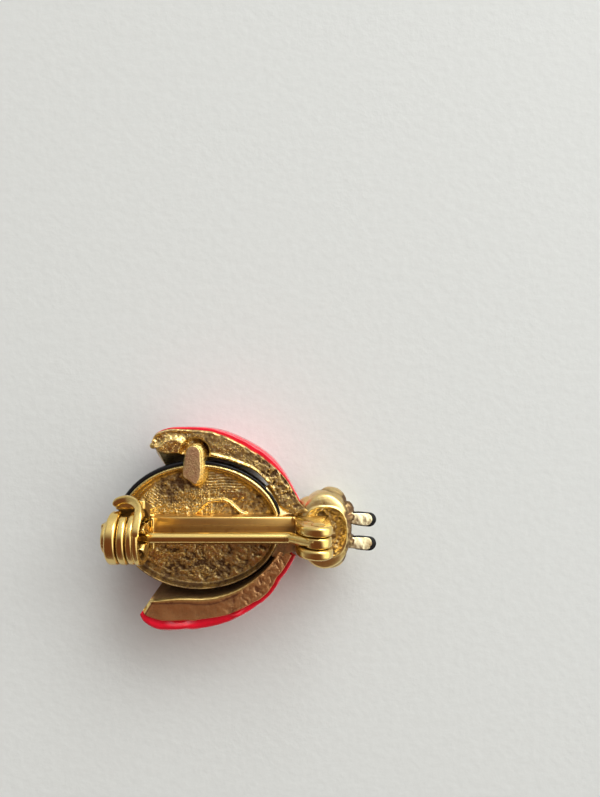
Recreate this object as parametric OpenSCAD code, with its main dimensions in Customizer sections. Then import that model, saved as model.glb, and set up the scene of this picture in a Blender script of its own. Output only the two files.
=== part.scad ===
// Ladybird brooch lying face down, with its cast back, its enamelled front and its bar pin-back.
// Millimetres. X runs from the catch to the head, Z points up out of the back.

/* [Body] */
// Height of the back's rim above the surface that the brooch lies on
back_h = 5.8; // [5.2:0.1:6.6]
// Length of the rim round the body, along the pin
body_l = 16.2; // [15.4:0.1:17]
// Width of the rim round the body, across the pin
body_w = 12.5; // [11.8:0.1:13.2]
// Width of the raised rim
rim_w = 0.45; // [0.3:0.05:0.7]
// Depth of the sunken back inside the rim
recess_d = 0.9; // [0.6:0.1:1.2]
// Height of the plain oval plate raised on the sunken back
plate_h = 0.25; // [0.15:0.05:0.4]
// Length of the oval plate
plate_l = 4.8; // [4:0.2:6]
// Width of the oval plate
plate_w = 4.2; // [3.4:0.2:5]
// Space between the surface under the brooch and the body's dome
dome_lift = 0.25; // [0.15:0.05:0.5]

/* [Enamel] */
// Thickness of the wings' enamel
enamel_t = 0.42; // [0.3:0.02:0.5]
// Thickness of the body's enamel
body_enamel_t = 0.28; // [0.2:0.02:0.34]
// Gap between a piece of enamel and its metal
enamel_gap = 0.03; // [0.02:0.01:0.05]
// How far the body's enamel starts below the rim
enamel_drop = 0.18; // [0.1:0.02:0.4]

/* [Wings] */
// Gap between the body's rim and a wing's inner edge, at the wing's middle
wing_gap = 0.8; // [0.75:0.05:1]
// Width of a wing's flat back where it is widest
wing_w = 2.5; // [2.2:0.1:2.8]
// How far a wing's enamel bulges past its flat back
wing_bulge = 1.1; // [0.8:0.05:1.3]
// How far a wing's inner wall may lean in under the body
wing_lean = 1.5; // [1.1:0.1:1.6]
// Width of the strut from the body to the upper wing
strut_w = 2; // [1.6:0.1:2.4]
// How far the strut stands above the rim
strut_h = 0.5; // [0.3:0.05:0.8]
// Depth of the notch in the wing round the strut's end
notch_d = 0.7; // [0.4:0.05:0.9]

/* [Head] */
// Distance from the body's centre to the head's centre
head_x = 12.6; // [12.4:0.1:13]
// Length of the head where it is widest
head_l = 5.2; // [4.8:0.1:5.6]
// Width of the head where it is widest
head_w = 7; // [6.6:0.1:7.4]
// Size of the head's flat back, as a share of its widest size
head_back = 0.78; // [0.72:0.01:0.84]
// Width of the rim round the hollow in the head's back
head_rim = 0.32; // [0.25:0.01:0.45]
// Depth of the hollow in the head's back
head_recess = 0.8; // [0.5:0.05:1.1]
// Radius of an eye
eye_r = 1.75; // [1.5:0.05:1.95]
// Distance between the eyes' centres
eye_gap = 4.9; // [4.5:0.1:5.2]
// Distance from the body's centre to the tips of the antennae
antenna_reach = 18; // [17.4:0.1:18.6]
// Distance between the antennae
antenna_gap = 2.45; // [2.2:0.05:2.7]
// Radius of an antenna's enamel
antenna_r = 0.72; // [0.66:0.02:0.8]
// Thickness of an antenna's enamel
antenna_enamel_t = 0.22; // [0.16:0.02:0.26]
// How far the antennae turn towards the lower wing
antenna_turn = 8; // [0:1:12]

/* [Pin-back] */
// Distance of the pin's line from the body's centre line
pin_side = 0.4; // [0.2:0.05:0.6]
// Width of the bar
bar_w = 3.2; // [3.1:0.1:3.6]
// Thickness of the bar
bar_t = 0.8; // [0.6:0.05:1]
// Distance from the body's centre to the hinge rivet
rivet_x = 11.8; // [11.5:0.1:12.1]
// Height of the rivet above the bar
rivet_h = 3.35; // [3.2:0.05:3.6]
// Radius of the rivet
rivet_r = 0.45; // [0.4:0.01:0.5]
// Running clearance round the rivet, in the stem's eye
rivet_play = 0.06; // [0.04:0.01:0.08]
// Gap round the rivet in the ears and under its heads
rivet_gap = 0.03; // [0.02:0.01:0.05]
// Thickness of a hinge ear
ear_t = 0.95; // [0.8:0.05:1]
// Radius of a hinge ear's round top
ear_r = 1.38; // [1.3:0.02:1.45]
// Gap between the stem's eye and an ear
ear_gap = 0.06; // [0.04:0.01:0.1]

/* [Pin stem] */
// Radius of the pin's wire
wire_r = 0.5; // [0.44:0.01:0.52]
// Height of the wire's centre above the bar
stem_h = 2; // [1.9:0.05:2.1]
// Distance from the rivet to the wire's bend
bend_back = 2.65; // [2.4:0.05:3]
// Length of the pin's sharpened end
point_l = 3.3; // [2.8:0.1:3.4]
// Radius of the point's blunt end
point_r = 0.12; // [0.08:0.01:0.2]
// Outside radius of the stem's eye
eye_ring_r = 1.15; // [1.05:0.01:1.2]

/* [Catch] */
// Distance from the body's centre to the catch's open end
catch_x = 4.95; // [4.8:0.05:5.1]
// Length of the turning roller
roller_l = 2.9; // [2.7:0.05:3]
// Radius of the roller's raised bands
roller_r = 2.55; // [2.45:0.01:2.6]
// Thickness of the roller's raised bands
band_t = 0.55; // [0.4:0.05:0.6]
// Width of the middle band, which the thumb turns
thumb_w = 0.76; // [0.7:0.02:0.9]
// Width of the left band
left_band_w = 1.02; // [0.9:0.02:1.1]
// Width of the groove on each side of the middle band
groove_w = 0.1; // [0.08:0.01:0.14]
// Outside radius of the fixed hook in which the pin lies
hook_r = 1.38; // [1.3:0.01:1.4]
// Radius of the fixed hook's inside
hook_bore_r = 0.64; // [0.6:0.01:0.68]
// Width of the hook's open mouth
mouth_w = 1.22; // [1.18:0.01:1.26]
// Running clearance between the hook and the roller
roller_play = 0.07; // [0.05:0.01:0.09]
// Angle that the roller leaves open
roller_mouth = 60; // [56:1:66]
// Gap between the roller and the lip beside it
lip_gap = 0.18; // [0.14:0.01:0.24]
// Thickness of the lip
lip_t = 0.8; // [0.6:0.02:0.9]

/* [Hidden] */

$fn = 48;

// Small overlap with which soldered and cast metal joins
fuse = 0.1;
// Sides of the body's oval, and rings of its dome
oval_sides = 48;
dome_rings = 7;
// Sides and rings of the head's dome
head_sides = 28;
head_rings = 6;
// How square the domes are: 2 is an ellipse
dome_square = 2.3;
head_square = 2.6;

// Columns of a wing's table. All but the angle are shares of a named size.
ANGLE = 0;
GAP = 1;
WIDTH = 2;
BULGE = 3;
DEPTH = 4;
LEAN = 5;
// Angle from the head, gap to the rim, width of the flat back, bulge of the enamel, depth, lean
upper_wing = [
    [14, 0.70, 0.76, 0.15, 0.55, 0.00],
    [22, 0.70, 0.74, 0.15, 0.68, 0.00],
    [31, 0.88, 0.70, 0.25, 0.80, 0.00],
    [45, 1.14, 0.65, 0.50, 0.93, 0.10],
    [60, 0.98, 0.77, 0.55, 1.00, 0.15],
    [80, 1.00, 1.00, 0.38, 1.00, 0.25],
    [97, 1.35, 1.00, 0.30, 0.97, 0.50],
    [108, 1.76, 0.95, 0.20, 0.88, 0.90],
    [115, 2.25, 0.74, 0.10, 0.76, 1.10],
    [119, 2.75, 0.34, 0.05, 0.62, 1.20]
];
lower_wing = [
    [17, 0.56, 0.60, 0.36, 0.55, 0.00],
    [24, 0.54, 0.60, 0.40, 0.68, 0.00],
    [33, 0.54, 0.65, 0.42, 0.80, 0.00],
    [47, 0.64, 0.80, 0.45, 0.93, 0.00],
    [60, 0.82, 0.86, 0.60, 1.00, 0.10],
    [80, 1.00, 0.90, 0.90, 1.00, 0.25],
    [96, 1.02, 0.95, 1.05, 1.00, 0.25],
    [106, 1.22, 1.05, 1.08, 0.95, 0.45],
    [114, 1.70, 1.00, 1.00, 0.84, 0.75],
    [120, 2.25, 0.80, 0.75, 0.72, 0.80],
    [124, 2.60, 0.62, 0.45, 0.62, 0.70]
];
// Rings along a wing, and steps round its dome
wing_rings = 20;
wing_steps = 10;
// Steps round a wing's dome at which its enamel has its full thickness and its full bulge
skin_angle = 15;
flare_angle = 14;

body_a = body_l/2;
body_b = body_w/2;
floor_z = back_h - recess_d;
waist_z = floor_z;
bar_top = back_h + bar_t;
pin_y = -pin_side;
rivet_z = bar_top + rivet_h;
stem_z = bar_top + stem_h;
bend_x = rivet_x - bend_back;
bar_left = -catch_x + 0.5;
bar_right = rivet_x - 2;

// Place and facets of the oval plate
plate_x = 1.9;
plate_y = 0.5;
plate_sides = 32;

// Strut: its place, its point, its round end and the gap round that in the wing
strut_x = -0.45;
strut_top = back_h + strut_h;
strut_end_y = rim_radius(92) + wing_gap + 0.35;
strut_start_y = body_b - 1.9;
strut_point_l = 1.1;
strut_end_r = strut_w*0.475;
notch_gap = 0.35;

// Neck and the collar under it
neck_y = rim_radius(20)*sin(20) + wing_gap;
neck_t = 1.6;
neck_drop = 0.06;
// How far the neck reaches into the body's rim
neck_lap = 0.1;
collar_x = head_x - 3;
collar_l = 3.8;
collar_w = 4.4;
collar_depth = back_h*0.62;
// Room that the body's enamel leaves round what passes through it
room = 0.12;

// Head, eyes and antennae
head_y = -0.5;
head_floor = back_h - head_recess;
head_bevel = 1.3;
eye_ahead = 0.65;
eye_z = back_h*0.6;
antenna_left_y = head_y - antenna_gap/2 + 0.15;
antenna_right_y = head_y + antenna_gap/2 + 0.15;
antenna_z = back_h - 1.1;
antenna_root_x = head_x + 1.9;
antenna_l = (antenna_reach - antenna_root_x - antenna_r*sin(antenna_turn))/cos(antenna_turn);
antenna_bare = 0.9;
antenna_core_r = antenna_r - antenna_enamel_t - enamel_gap;
antenna_flat = antenna_core_r*0.75;

// Hinge: the stem's eye between the ears, and the ears' feet
eye_w = 2*wire_r + 0.04;
ears_w = 2*ear_t + 2*ear_gap + eye_w;
ear_back = rivet_x + 1.25;
ear_foot = 1.75;
ear_foot_h = 0.7;
fork_step = 0.12;
bend_r = wire_r*1.03;
// Where the rising wire runs into the stem's eye, above and short of the rivet
eye_reach_x = rivet_x - 0.95;
eye_reach_z = rivet_z + 0.25;

// Catch: the roller, the hook's round end, the cradle, the base sheet and the lip
roller_right = -catch_x;
roller_left = -catch_x - roller_l;
roller_start = 92;
thumb_start = 62;
lip_start = 98;
tube_r = roller_r - band_t;
band_round = 0.35;
hollow_l = 0.8;
cap_gap = 0.15;
cap_t = 0.9;
cap_r = 1.9;
cap_round = 0.25;
cap_foot_w = 2.6;
cap_left = roller_left - cap_gap - cap_t;
hook_right = roller_right + 0.45;
cradle_top = stem_z - roller_r - 0.1;
cradle_t = 0.8;
cradle_w = 3.4;
sheet_gap = 0.12;
sheet_t = 0.68;
sheet_h = bar_t + 0.5;
post_w = 1.1;
lip_in = roller_r + lip_gap;
lip_out = lip_in + lip_t;

function mix(a, b, t) = a + (b - a)*t;

// Point of a smooth curve through four neighbouring values
function smooth(a, b, c, d, t) =
    0.5*((2*b) + (c - a)*t + (2*a - 5*b + 4*c - d)*t*t + (3*b - a - 3*c + d)*t*t*t);

// Row of a table at a place from 0 to 1 along it
function row_at(table, place) =
    let (
        last = len(table) - 1,
        s = place*last,
        i = min(floor(s), last - 1),
        t = s - i,
        p = table[max(i - 1, 0)],
        n = table[min(i + 2, last)]
    )
    [for (c = [0:len(table[0]) - 1]) smooth(p[c], table[i][c], table[i + 1][c], n[c], t)];

// Inner edge of a wing's back
function wing_inner(row) = rim_radius(row[ANGLE]) + row[GAP]*wing_gap;

// Radius of the rim's oval at an angle from the head
function rim_radius(angle) =
    body_a*body_b/sqrt(pow(body_b*cos(angle), 2) + pow(body_a*sin(angle), 2));

// Point of a wing's metal dome, sunk by skin: step 0 is the back's outer edge, 90 the crest
function dome_point(row, a, skin) =
    let (
        inner = wing_inner(row),
        outer = inner + row[WIDTH]*wing_w,
        foot = inner - wing_lean*row[LEAN],
        u = foot + (outer - foot)*pow(cos(a), 0.9),
        z = back_h - min(row[DEPTH], 1)*back_h*pow(sin(a), 0.9),
        sink = skin*min(1, a/skin_angle)
    )
    [u - sink*cos(a*0.8), z + sink*sin(a)];

// How far the enamel stands out past the metal's outline at a step round the dome
function flare(row, a) =
    row[BULGE]*wing_bulge*(a < flare_angle ? sqrt(sin(90*a/flare_angle)) : cos(a - flare_angle));

function enamel_point(row, a) =
    let (p = dome_point(row, a, 0))
    [p[0] + flare(row, min(a, 90)), p[1]];

function place_point(point, angle, side) = [point[0]*cos(angle), side*point[0]*sin(angle), point[1]];

// Steps round the dome, from the back's edge to just short of the crest's inner side
function dome_angles(first) = [for (i = [0:wing_steps - 1]) mix(first, 90, i/(wing_steps - 1))];

// Closed section of a wing's metal
function metal_section(row) =
    let (low = dome_point(row, 90, enamel_t + enamel_gap))
    concat(
        [[wing_inner(row), back_h]],
        [[wing_inner(row) + row[WIDTH]*wing_w, back_h]],
        [for (a = dome_angles(3)) dome_point(row, a, enamel_t + enamel_gap)],
        [[low[0] - 0.12, low[1] + 0.3]]
    );

// Closed section of a wing's enamel, outside then inside
function enamel_section(row) =
    let (steps = dome_angles(3))
    concat(
        [for (a = steps) enamel_point(row, a)],
        [for (i = [wing_steps - 1:-1:0]) dome_point(row, steps[i], enamel_t)]
    );

// Faces of a body lofted through rings of n points each
function loft_faces(rings, n, flip) =
    let (
        sides = [
            for (r = [0:rings - 2])
                for (i = [0:n - 1])
                    let (j = (i + 1) % n)
                    for (face = [[r*n + i, r*n + j, (r + 1)*n + j], [r*n + i, (r + 1)*n + j, (r + 1)*n + i]])
                        face
        ]
    )
    flip ? [for (f = sides) [f[2], f[1], f[0]]] : sides;

// Caps of a lofted band whose section is an outside and an inside of n/2 points each
function band_cap(start, n, flip) =
    [
        for (i = [0:n/2 - 2])
            let (a = start + i, b = start + i + 1, c = start + n - 2 - i, d = start + n - 1 - i)
            for (face = [[a, b, c], [a, c, d]])
                flip ? [face[2], face[1], face[0]] : face
    ];

// Cap of a lofted solid section, as a fan from its first point
function fan_cap(start, n, flip) =
    [for (i = [1:n - 2]) flip ? [start, start + i + 1, start + i] : [start, start + i, start + i + 1]];

function wing_rows(table) = [for (r = [0:wing_rings - 1]) row_at(table, r/(wing_rings - 1))];

function wing_points(sections, rows, side) =
    [for (r = [0:len(rows) - 1]) for (p = sections[r]) place_point(p, rows[r][ANGLE], side)];

module lofted_wing(table, side, is_enamel) {
    rows = wing_rows(table);
    sections = [
        for (row = rows) is_enamel ? enamel_section(row) : metal_section(row)
    ];
    n = len(sections[0]);
    last = (wing_rings - 1)*n;
    flip = side > 0;
    caps = is_enamel
        ? concat(band_cap(0, n, !flip), band_cap(last, n, flip))
        : concat(fan_cap(0, n, !flip), fan_cap(last, n, flip));
    polyhedron(
        points = wing_points(sections, rows, side),
        faces = concat(loft_faces(wing_rings, n, flip), caps),
        convexity = 6
    );
}

// The furthest that a wing's enamel reaches sideways
function wing_reach(table) =
    max([for (row = wing_rows(table)) for (p = enamel_section(row)) p[0]*sin(row[ANGLE])]);

mid_x = (antenna_reach + cap_left)/2;
mid_y = (wing_reach(upper_wing) - wing_reach(lower_wing))/2;

// Puts the whole brooch with the middle of its box over the origin
module in_place() {
    translate([-mid_x, -mid_y, 0])
        children();
}

module oval(a, b, sides) {
    polygon([for (i = [0:sides - 1]) [a*cos(360*i/sides), b*sin(360*i/sides)]]);
}

module oval_plate(a, b, z0, z1, sides) {
    translate([0, 0, z0])
        linear_extrude(height = z1 - z0)
            oval(a, b, sides);
}

// Ring k of a dome that hangs from z0 down by depth, k counted from its widest ring to its pole
function dome_ring(a, b, z0, depth, k, rings, sides, square) =
    let (t = 90*k/rings, s = pow(cos(t), 2/square), d = depth*pow(sin(t), 2/square))
    [for (i = [0:sides - 1]) [a*s*cos(360*i/sides), b*s*sin(360*i/sides), z0 - d]];

// Solid dome that hangs from z0, with a flat top at top_z, whose size is a share of the dome's
module dome(a, b, top_z, z0, depth, rings, sides, square, top = 1) {
    loops = concat(
        [for (i = [0:sides - 1]) [top*a*cos(360*i/sides), top*b*sin(360*i/sides), top_z]],
        [for (k = [0:rings - 1]) each dome_ring(a, b, z0, depth, k, rings, sides, square)]
    );
    pole = len(loops);
    last = rings*sides;
    polyhedron(
        points = concat(loops, [[0, 0, z0 - depth]]),
        faces = concat(
            [[for (i = [sides - 1:-1:0]) i]],
            loft_faces(rings + 1, sides, false),
            [for (i = [0:sides - 1]) [last + i, last + (i + 1) % sides, pole]]
        ),
        convexity = 4
    );
}

// The body's metal: a rim round a sunken back, over a dome
module body_metal() {
    difference() {
        dome(
            body_a, body_b, back_h, waist_z,
            waist_z - dome_lift - body_enamel_t - enamel_gap, dome_rings, oval_sides, dome_square
        );
        oval_plate(body_a - rim_w, body_b - rim_w, floor_z, back_h + 1, oval_sides);
    }
    translate([plate_x, plate_y, 0])
        oval_plate(plate_l/2, plate_w/2, floor_z - fuse, floor_z + plate_h, plate_sides);
}

// Both wings' metal, with the notch for the strut's end in the upper one
module wing_metal() {
    difference() {
        lofted_wing(upper_wing, 1, false);
        translate([strut_x, strut_end_y, back_h - notch_d])
            cylinder(r = strut_w/2 + notch_gap, h = 2*notch_d);
    }
    lofted_wing(lower_wing, -1, false);
}

// Flat strut that carries the upper wing, pointed where it stands on the sunken back
module strut() {
    half = strut_w/2;
    translate([strut_x, 0, floor_z - fuse])
        linear_extrude(height = strut_top - floor_z + fuse)
            polygon([
                [0.1, strut_start_y],
                [-half, strut_start_y + strut_point_l],
                [-strut_end_r, strut_end_y],
                [strut_end_r, strut_end_y],
                [half, strut_start_y + strut_point_l]
            ]);
    translate([strut_x, strut_end_y, back_h - notch_d - fuse])
        cylinder(r = strut_end_r, h = strut_h + notch_d + fuse);
}

// Neck between the body, the wings and the head: a plate over a domed collar
module neck() {
    start = body_a - rim_w*2;
    end = head_x - 1.6;
    waist = head_x - 4.1;
    difference() {
        union() {
            translate([collar_x, head_y, 0])
                dome(
                    collar_l/2, collar_w/2, back_h - neck_drop - 0.06, back_h - neck_t*0.75,
                    collar_depth, head_rings, head_sides, head_square, 0.9
                );
            translate([0, 0, back_h - neck_t])
                linear_extrude(height = neck_t - neck_drop)
                    polygon([
                        [start, neck_y - 0.5],
                        [waist, neck_y - 0.3],
                        [end, 0.8],
                        [end, -1.6],
                        [waist, 0.5 - neck_y],
                        [start, 0.4 - neck_y]
                    ]);
        }
        oval_plate(
            body_a - rim_w + neck_lap, body_b - rim_w + neck_lap, floor_z - 1, back_h + 1, oval_sides
        );
    }
}

module head() {
    a = head_l/2;
    b = head_w/2;
    difference() {
        union() {
            translate([head_x, head_y, 0])
                dome(
                    a, b, back_h, back_h - head_bevel,
                    back_h - head_bevel, head_rings, head_sides, head_square, head_back
                );
            for (side = [-1, 1])
                translate([head_x + eye_ahead, head_y + side*eye_gap/2, eye_z])
                    sphere(r = eye_r);
        }
        translate([head_x, head_y, 0])
            oval_plate(
                a*head_back - head_rim, b*head_back - head_rim, head_floor, back_h + 1, head_sides
            );
    }
}

// Turns an antenna, drawn along X from its root, into its place
module antenna_place(y) {
    translate([antenna_root_x, y, antenna_z])
        rotate([0, 0, -antenna_turn])
            children();
}

// Block above an antenna's flat back
module above_antenna(z) {
    translate([-1, -antenna_r - 1, z])
        cube([antenna_l + 2, 2*antenna_r + 2, antenna_r + 1]);
}

// Half-round metal of an antenna, flat on its back
module antenna_metal(y) {
    antenna_place(y)
        difference() {
            rotate([0, 90, 0])
                cylinder(r = antenna_core_r, h = antenna_l - antenna_enamel_t - enamel_gap);
            above_antenna(antenna_flat);
        }
}

// Enamel round an antenna's front and tip
module antenna_enamel(y) {
    in_place()
        antenna_place(y)
            difference() {
                translate([antenna_bare, 0, 0])
                    rotate([0, 90, 0])
                        cylinder(r = antenna_r, h = antenna_l - antenna_bare);
                rotate([0, 90, 0])
                    cylinder(r = antenna_core_r + enamel_gap, h = antenna_l - antenna_enamel_t);
                above_antenna(antenna_flat - 0.02);
            }
}

// Cylinder along X, from x0 to x1, on the pin's line
module along_pin(r0, r1, x0, x1) {
    translate([x0, pin_y, stem_z])
        rotate([0, 90, 0])
            cylinder(r1 = r0, r2 = r1, h = x1 - x0);
}

// Flat bar along the back, and the fork of the hinge on its end
module bar() {
    translate([bar_left, pin_y - bar_w/2, back_h - fuse])
        cube([bar_right + fuse - bar_left, bar_w, bar_t + fuse]);
    translate([bar_right, pin_y - ears_w/2, back_h - fuse])
        cube([ear_back - bar_right, ears_w, bar_t + fuse + fork_step]);
}

// One ear of the hinge: a round top over a foot on the bar
module ear(y) {
    side = ear_r*0.995;
    shoulder = rivet_h + fuse - 0.12;
    difference() {
        union() {
            translate([rivet_x, y + ear_t, rivet_z])
                rotate([90, 0, 0])
                    cylinder(r = ear_r, h = ear_t);
            translate([rivet_x, y, bar_top - fuse])
                rotate([90, 0, 0])
                    mirror([0, 0, 1])
                        linear_extrude(height = ear_t)
                            polygon([
                                [-ear_foot, 0],
                                [-ear_foot + 0.15, ear_foot_h],
                                [-side, shoulder],
                                [0, shoulder + 0.32],
                                [side, shoulder],
                                [ear_back - rivet_x, 0]
                            ]);
        }
        translate([rivet_x, y + ear_t + 1, rivet_z])
            rotate([90, 0, 0])
                cylinder(r = rivet_r + rivet_gap, h = ear_t + 2);
    }
}

// Fixed hook in which the pin lies, on its cradle, with the lip beside the roller
module catch_hook() {
    sheet_left = roller_right + sheet_gap;
    bore_left = roller_left - 0.1;
    difference() {
        along_pin(hook_r, hook_r, cap_left + 0.2, hook_right);
        along_pin(hook_bore_r, hook_bore_r, bore_left, hook_right + 1);
        translate([bore_left, pin_y - mouth_w/2, stem_z])
            cube([hook_right - bore_left + 1, mouth_w, hook_r + 1]);
    }
    catch_end();
    catch_lip();
    translate([cap_left, pin_y - cradle_w/2, cradle_top - cradle_t])
        cube([bar_left + fuse - cap_left, cradle_w, cradle_t]);
    translate([sheet_left, pin_y - bar_w/2, back_h - fuse])
        cube([sheet_t, bar_w, sheet_h + fuse]);
    translate([sheet_left, pin_y - post_w/2, back_h])
        cube([hook_right - sheet_left - 0.02, post_w, stem_z - hook_bore_r - 0.3 - back_h]);
}

// Rounded end that closes the hook and carries it
module catch_end() {
    along_pin(cap_r - 0.4, cap_r, cap_left, cap_left + cap_round);
    along_pin(cap_r, cap_r, cap_left + cap_round, cap_left + cap_t);
    translate([cap_left + 0.02, pin_y - cap_foot_w/2, cradle_top - fuse])
        cube([cap_t - 0.04, cap_foot_w, stem_z - cradle_top]);
}

// Wedge of a turn about the pin's line: angles are counted from straight up towards the upper wing
module sector(a0, a1, x0, x1) {
    reach = roller_r*2.3;
    steps = 3;
    translate([x0, pin_y, stem_z])
        rotate([90, 0, 90])
            linear_extrude(height = x1 - x0)
                polygon(concat(
                    [[0, 0]],
                    [for (i = [0:steps]) let (a = mix(a0, a1, i/steps)) [reach*sin(a), reach*cos(a)]]
                ));
}

module catch_lip() {
    intersection() {
        difference() {
            along_pin(lip_out, lip_out, cap_left + cap_round + 0.1, roller_right + sheet_gap + 0.08);
            along_pin(lip_in, lip_in, cap_left, roller_right + 1);
        }
        sector(lip_start, roller_start + roller_mouth, cap_left, roller_right + 1);
    }
}

// Cast metal with the soldered pin-back: one solid
module casting() {
    color([0.72, 0.55, 0.27])
        in_place() {
            body_metal();
            wing_metal();
            strut();
            neck();
            head();
            antenna_metal(antenna_left_y);
            antenna_metal(antenna_right_y);
            bar();
            for (side = [0, 1])
                ear(pin_y - ears_w/2 + side*(ears_w - ear_t));
            catch_hook();
        }
}

// Black enamel over the front of the body
module body_enamel() {
    top_z = back_h - enamel_drop;
    depth = waist_z - dome_lift;
    grow = enamel_gap + body_enamel_t;
    color([0.02, 0.02, 0.025])
        in_place()
            difference() {
                dome(
                    body_a + grow, body_b + grow, top_z, waist_z,
                    depth, dome_rings, oval_sides, dome_square
                );
                dome(
                    body_a + enamel_gap, body_b + enamel_gap, top_z + 1, waist_z,
                    depth - body_enamel_t, dome_rings, oval_sides, dome_square
                );
                neck_room();
                strut_room();
                cradle_room();
            }
}

// Room in the body's enamel for the neck
module neck_room() {
    translate([body_a - 1.2, -neck_y - room, back_h*0.15])
        cube([3, 2*(neck_y + room), back_h]);
}

// Room in the body's enamel for the strut
module strut_room() {
    translate([strut_x - strut_w/2 - room, body_b - 1, floor_z - fuse - room])
        cube([strut_w + 2*room, 2, back_h]);
}

// Room in the body's enamel for the catch's cradle
module cradle_room() {
    translate([-body_a - 1, pin_y - cradle_w/2 - room, cradle_top - cradle_t - room])
        cube([2, cradle_w + 2*room, back_h]);
}

// Red enamel over the front of a wing
module wing_enamel(table, side) {
    color([0.78, 0.03, 0.07])
        in_place()
            lofted_wing(table, side, true);
}

// Rivet of the hinge, with a low head at each end
module hinge_rivet() {
    head_t = 0.16;
    half = ears_w/2 + rivet_gap;
    foot_r = rivet_r + 0.28;
    top_r = rivet_r + 0.12;
    color([0.78, 0.6, 0.3])
        in_place()
            translate([rivet_x, pin_y, rivet_z])
                rotate([90, 0, 0]) {
                    cylinder(r = rivet_r, h = 2*half + 0.1, center = true);
                    for (side = [0, 180])
                        rotate([0, side, 0])
                            translate([0, 0, half])
                                cylinder(r1 = foot_r, r2 = top_r, h = head_t);
                }
}

// Wire with a sharpened end, a bend and an eye round the rivet
module pin_stem() {
    shaft_left = hook_right + 0.2;
    rise = [eye_reach_x - bend_x, 0, eye_reach_z - stem_z];
    rise_l = norm(rise);
    rise_turn = atan2(rise[0], rise[2]);
    color([0.86, 0.66, 0.34])
        in_place()
            difference() {
                union() {
                    along_pin(point_r, wire_r, shaft_left - point_l, shaft_left);
                    along_pin(wire_r, wire_r, shaft_left, bend_x);
                    translate([bend_x, pin_y, stem_z])
                        sphere(r = bend_r);
                    translate([bend_x, pin_y, stem_z])
                        rotate([0, rise_turn, 0])
                            cylinder(r = wire_r, h = rise_l);
                    translate([rivet_x, pin_y + eye_w/2, rivet_z])
                        rotate([90, 0, 0])
                            cylinder(r = eye_ring_r, h = eye_w);
                }
                translate([rivet_x, pin_y + 2, rivet_z])
                    rotate([90, 0, 0])
                        cylinder(r = rivet_r + rivet_play, h = 4);
            }
}

// Roller that turns on the hook and closes its mouth: three bands on a split tube
module catch_roller() {
    thumb_left = roller_left + left_band_w + groove_w;
    thumb_right = thumb_left + thumb_w;
    bore = hook_r + roller_play;
    hollow_r = roller_r - 0.6;
    color([0.84, 0.64, 0.3])
        in_place()
            difference() {
                union() {
                    along_pin(tube_r, tube_r, roller_left, roller_right);
                    along_pin(tube_r + 0.1, roller_r, roller_left, roller_left + band_round);
                    along_pin(roller_r, roller_r, roller_left + band_round - 0.01, roller_left + left_band_w);
                    along_pin(roller_r, roller_r, thumb_left, thumb_right);
                    along_pin(roller_r, roller_r, thumb_right + groove_w, roller_right);
                }
                along_pin(bore, bore, roller_left - 1, roller_right + 1);
                along_pin(hollow_r, hollow_r, roller_right - hollow_l, roller_right + 1);
                sector(roller_start, roller_start + roller_mouth, roller_left - 1, roller_right + 1);
                intersection() {
                    sector(thumb_start, roller_start + 8, thumb_left - groove_w/2, thumb_right + groove_w/2);
                    difference() {
                        along_pin(roller_r*2, roller_r*2, roller_left, roller_right);
                        along_pin(tube_r, tube_r, roller_left - 1, roller_right + 1);
                    }
                }
            }
}

casting();
body_enamel();
wing_enamel(upper_wing, 1);  // wing_enamel_upper
wing_enamel(lower_wing, -1);  // wing_enamel_lower
antenna_enamel(antenna_right_y);  // antenna_enamel_upper
antenna_enamel(antenna_left_y);  // antenna_enamel_lower
hinge_rivet();
pin_stem();
catch_roller();
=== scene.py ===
"""Ladybird brooch lying face down: the finish of every piece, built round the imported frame."""

import math
from types import SimpleNamespace

import bmesh
import bpy
import numpy as np
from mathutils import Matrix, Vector


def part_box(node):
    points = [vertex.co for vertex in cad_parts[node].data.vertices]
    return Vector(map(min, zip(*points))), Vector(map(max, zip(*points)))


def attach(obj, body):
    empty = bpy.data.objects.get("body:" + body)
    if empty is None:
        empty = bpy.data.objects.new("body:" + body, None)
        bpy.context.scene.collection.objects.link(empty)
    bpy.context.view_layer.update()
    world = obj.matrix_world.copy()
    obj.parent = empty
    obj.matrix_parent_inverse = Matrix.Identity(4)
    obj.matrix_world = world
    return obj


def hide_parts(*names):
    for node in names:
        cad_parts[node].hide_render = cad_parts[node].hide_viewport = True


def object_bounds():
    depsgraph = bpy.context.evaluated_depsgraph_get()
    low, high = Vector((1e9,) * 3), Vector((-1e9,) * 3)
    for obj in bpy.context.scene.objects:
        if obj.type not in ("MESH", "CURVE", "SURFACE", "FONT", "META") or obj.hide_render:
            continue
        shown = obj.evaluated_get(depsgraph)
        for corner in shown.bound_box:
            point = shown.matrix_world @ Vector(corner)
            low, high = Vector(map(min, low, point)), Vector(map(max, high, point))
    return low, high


bl_info = {
    "name": "Ladybird brooch",
    "version": (1, 0, 0),
    "blender": (4, 5, 0),
    "location": "3D View > Sidebar > Brooch",
    "description": "Builds a cast and enamelled ladybird brooch, seen from its back",
    "category": "Add Mesh",
}

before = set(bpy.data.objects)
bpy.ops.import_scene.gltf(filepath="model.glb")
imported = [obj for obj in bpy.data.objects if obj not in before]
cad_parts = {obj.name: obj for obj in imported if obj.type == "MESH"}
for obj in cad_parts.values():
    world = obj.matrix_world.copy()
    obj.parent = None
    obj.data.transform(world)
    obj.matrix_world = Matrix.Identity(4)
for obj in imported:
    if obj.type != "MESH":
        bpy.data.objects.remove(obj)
CAD_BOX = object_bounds()
RIVET_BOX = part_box("hinge_rivet")
ROLLER_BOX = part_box("catch_roller")
COAT_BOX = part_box("body_enamel")
WIRE_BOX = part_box("pin_stem")

# Pieces are shaped in millimetres about the middle of the body's oval, then brought to metres
MM = 0.001
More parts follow.
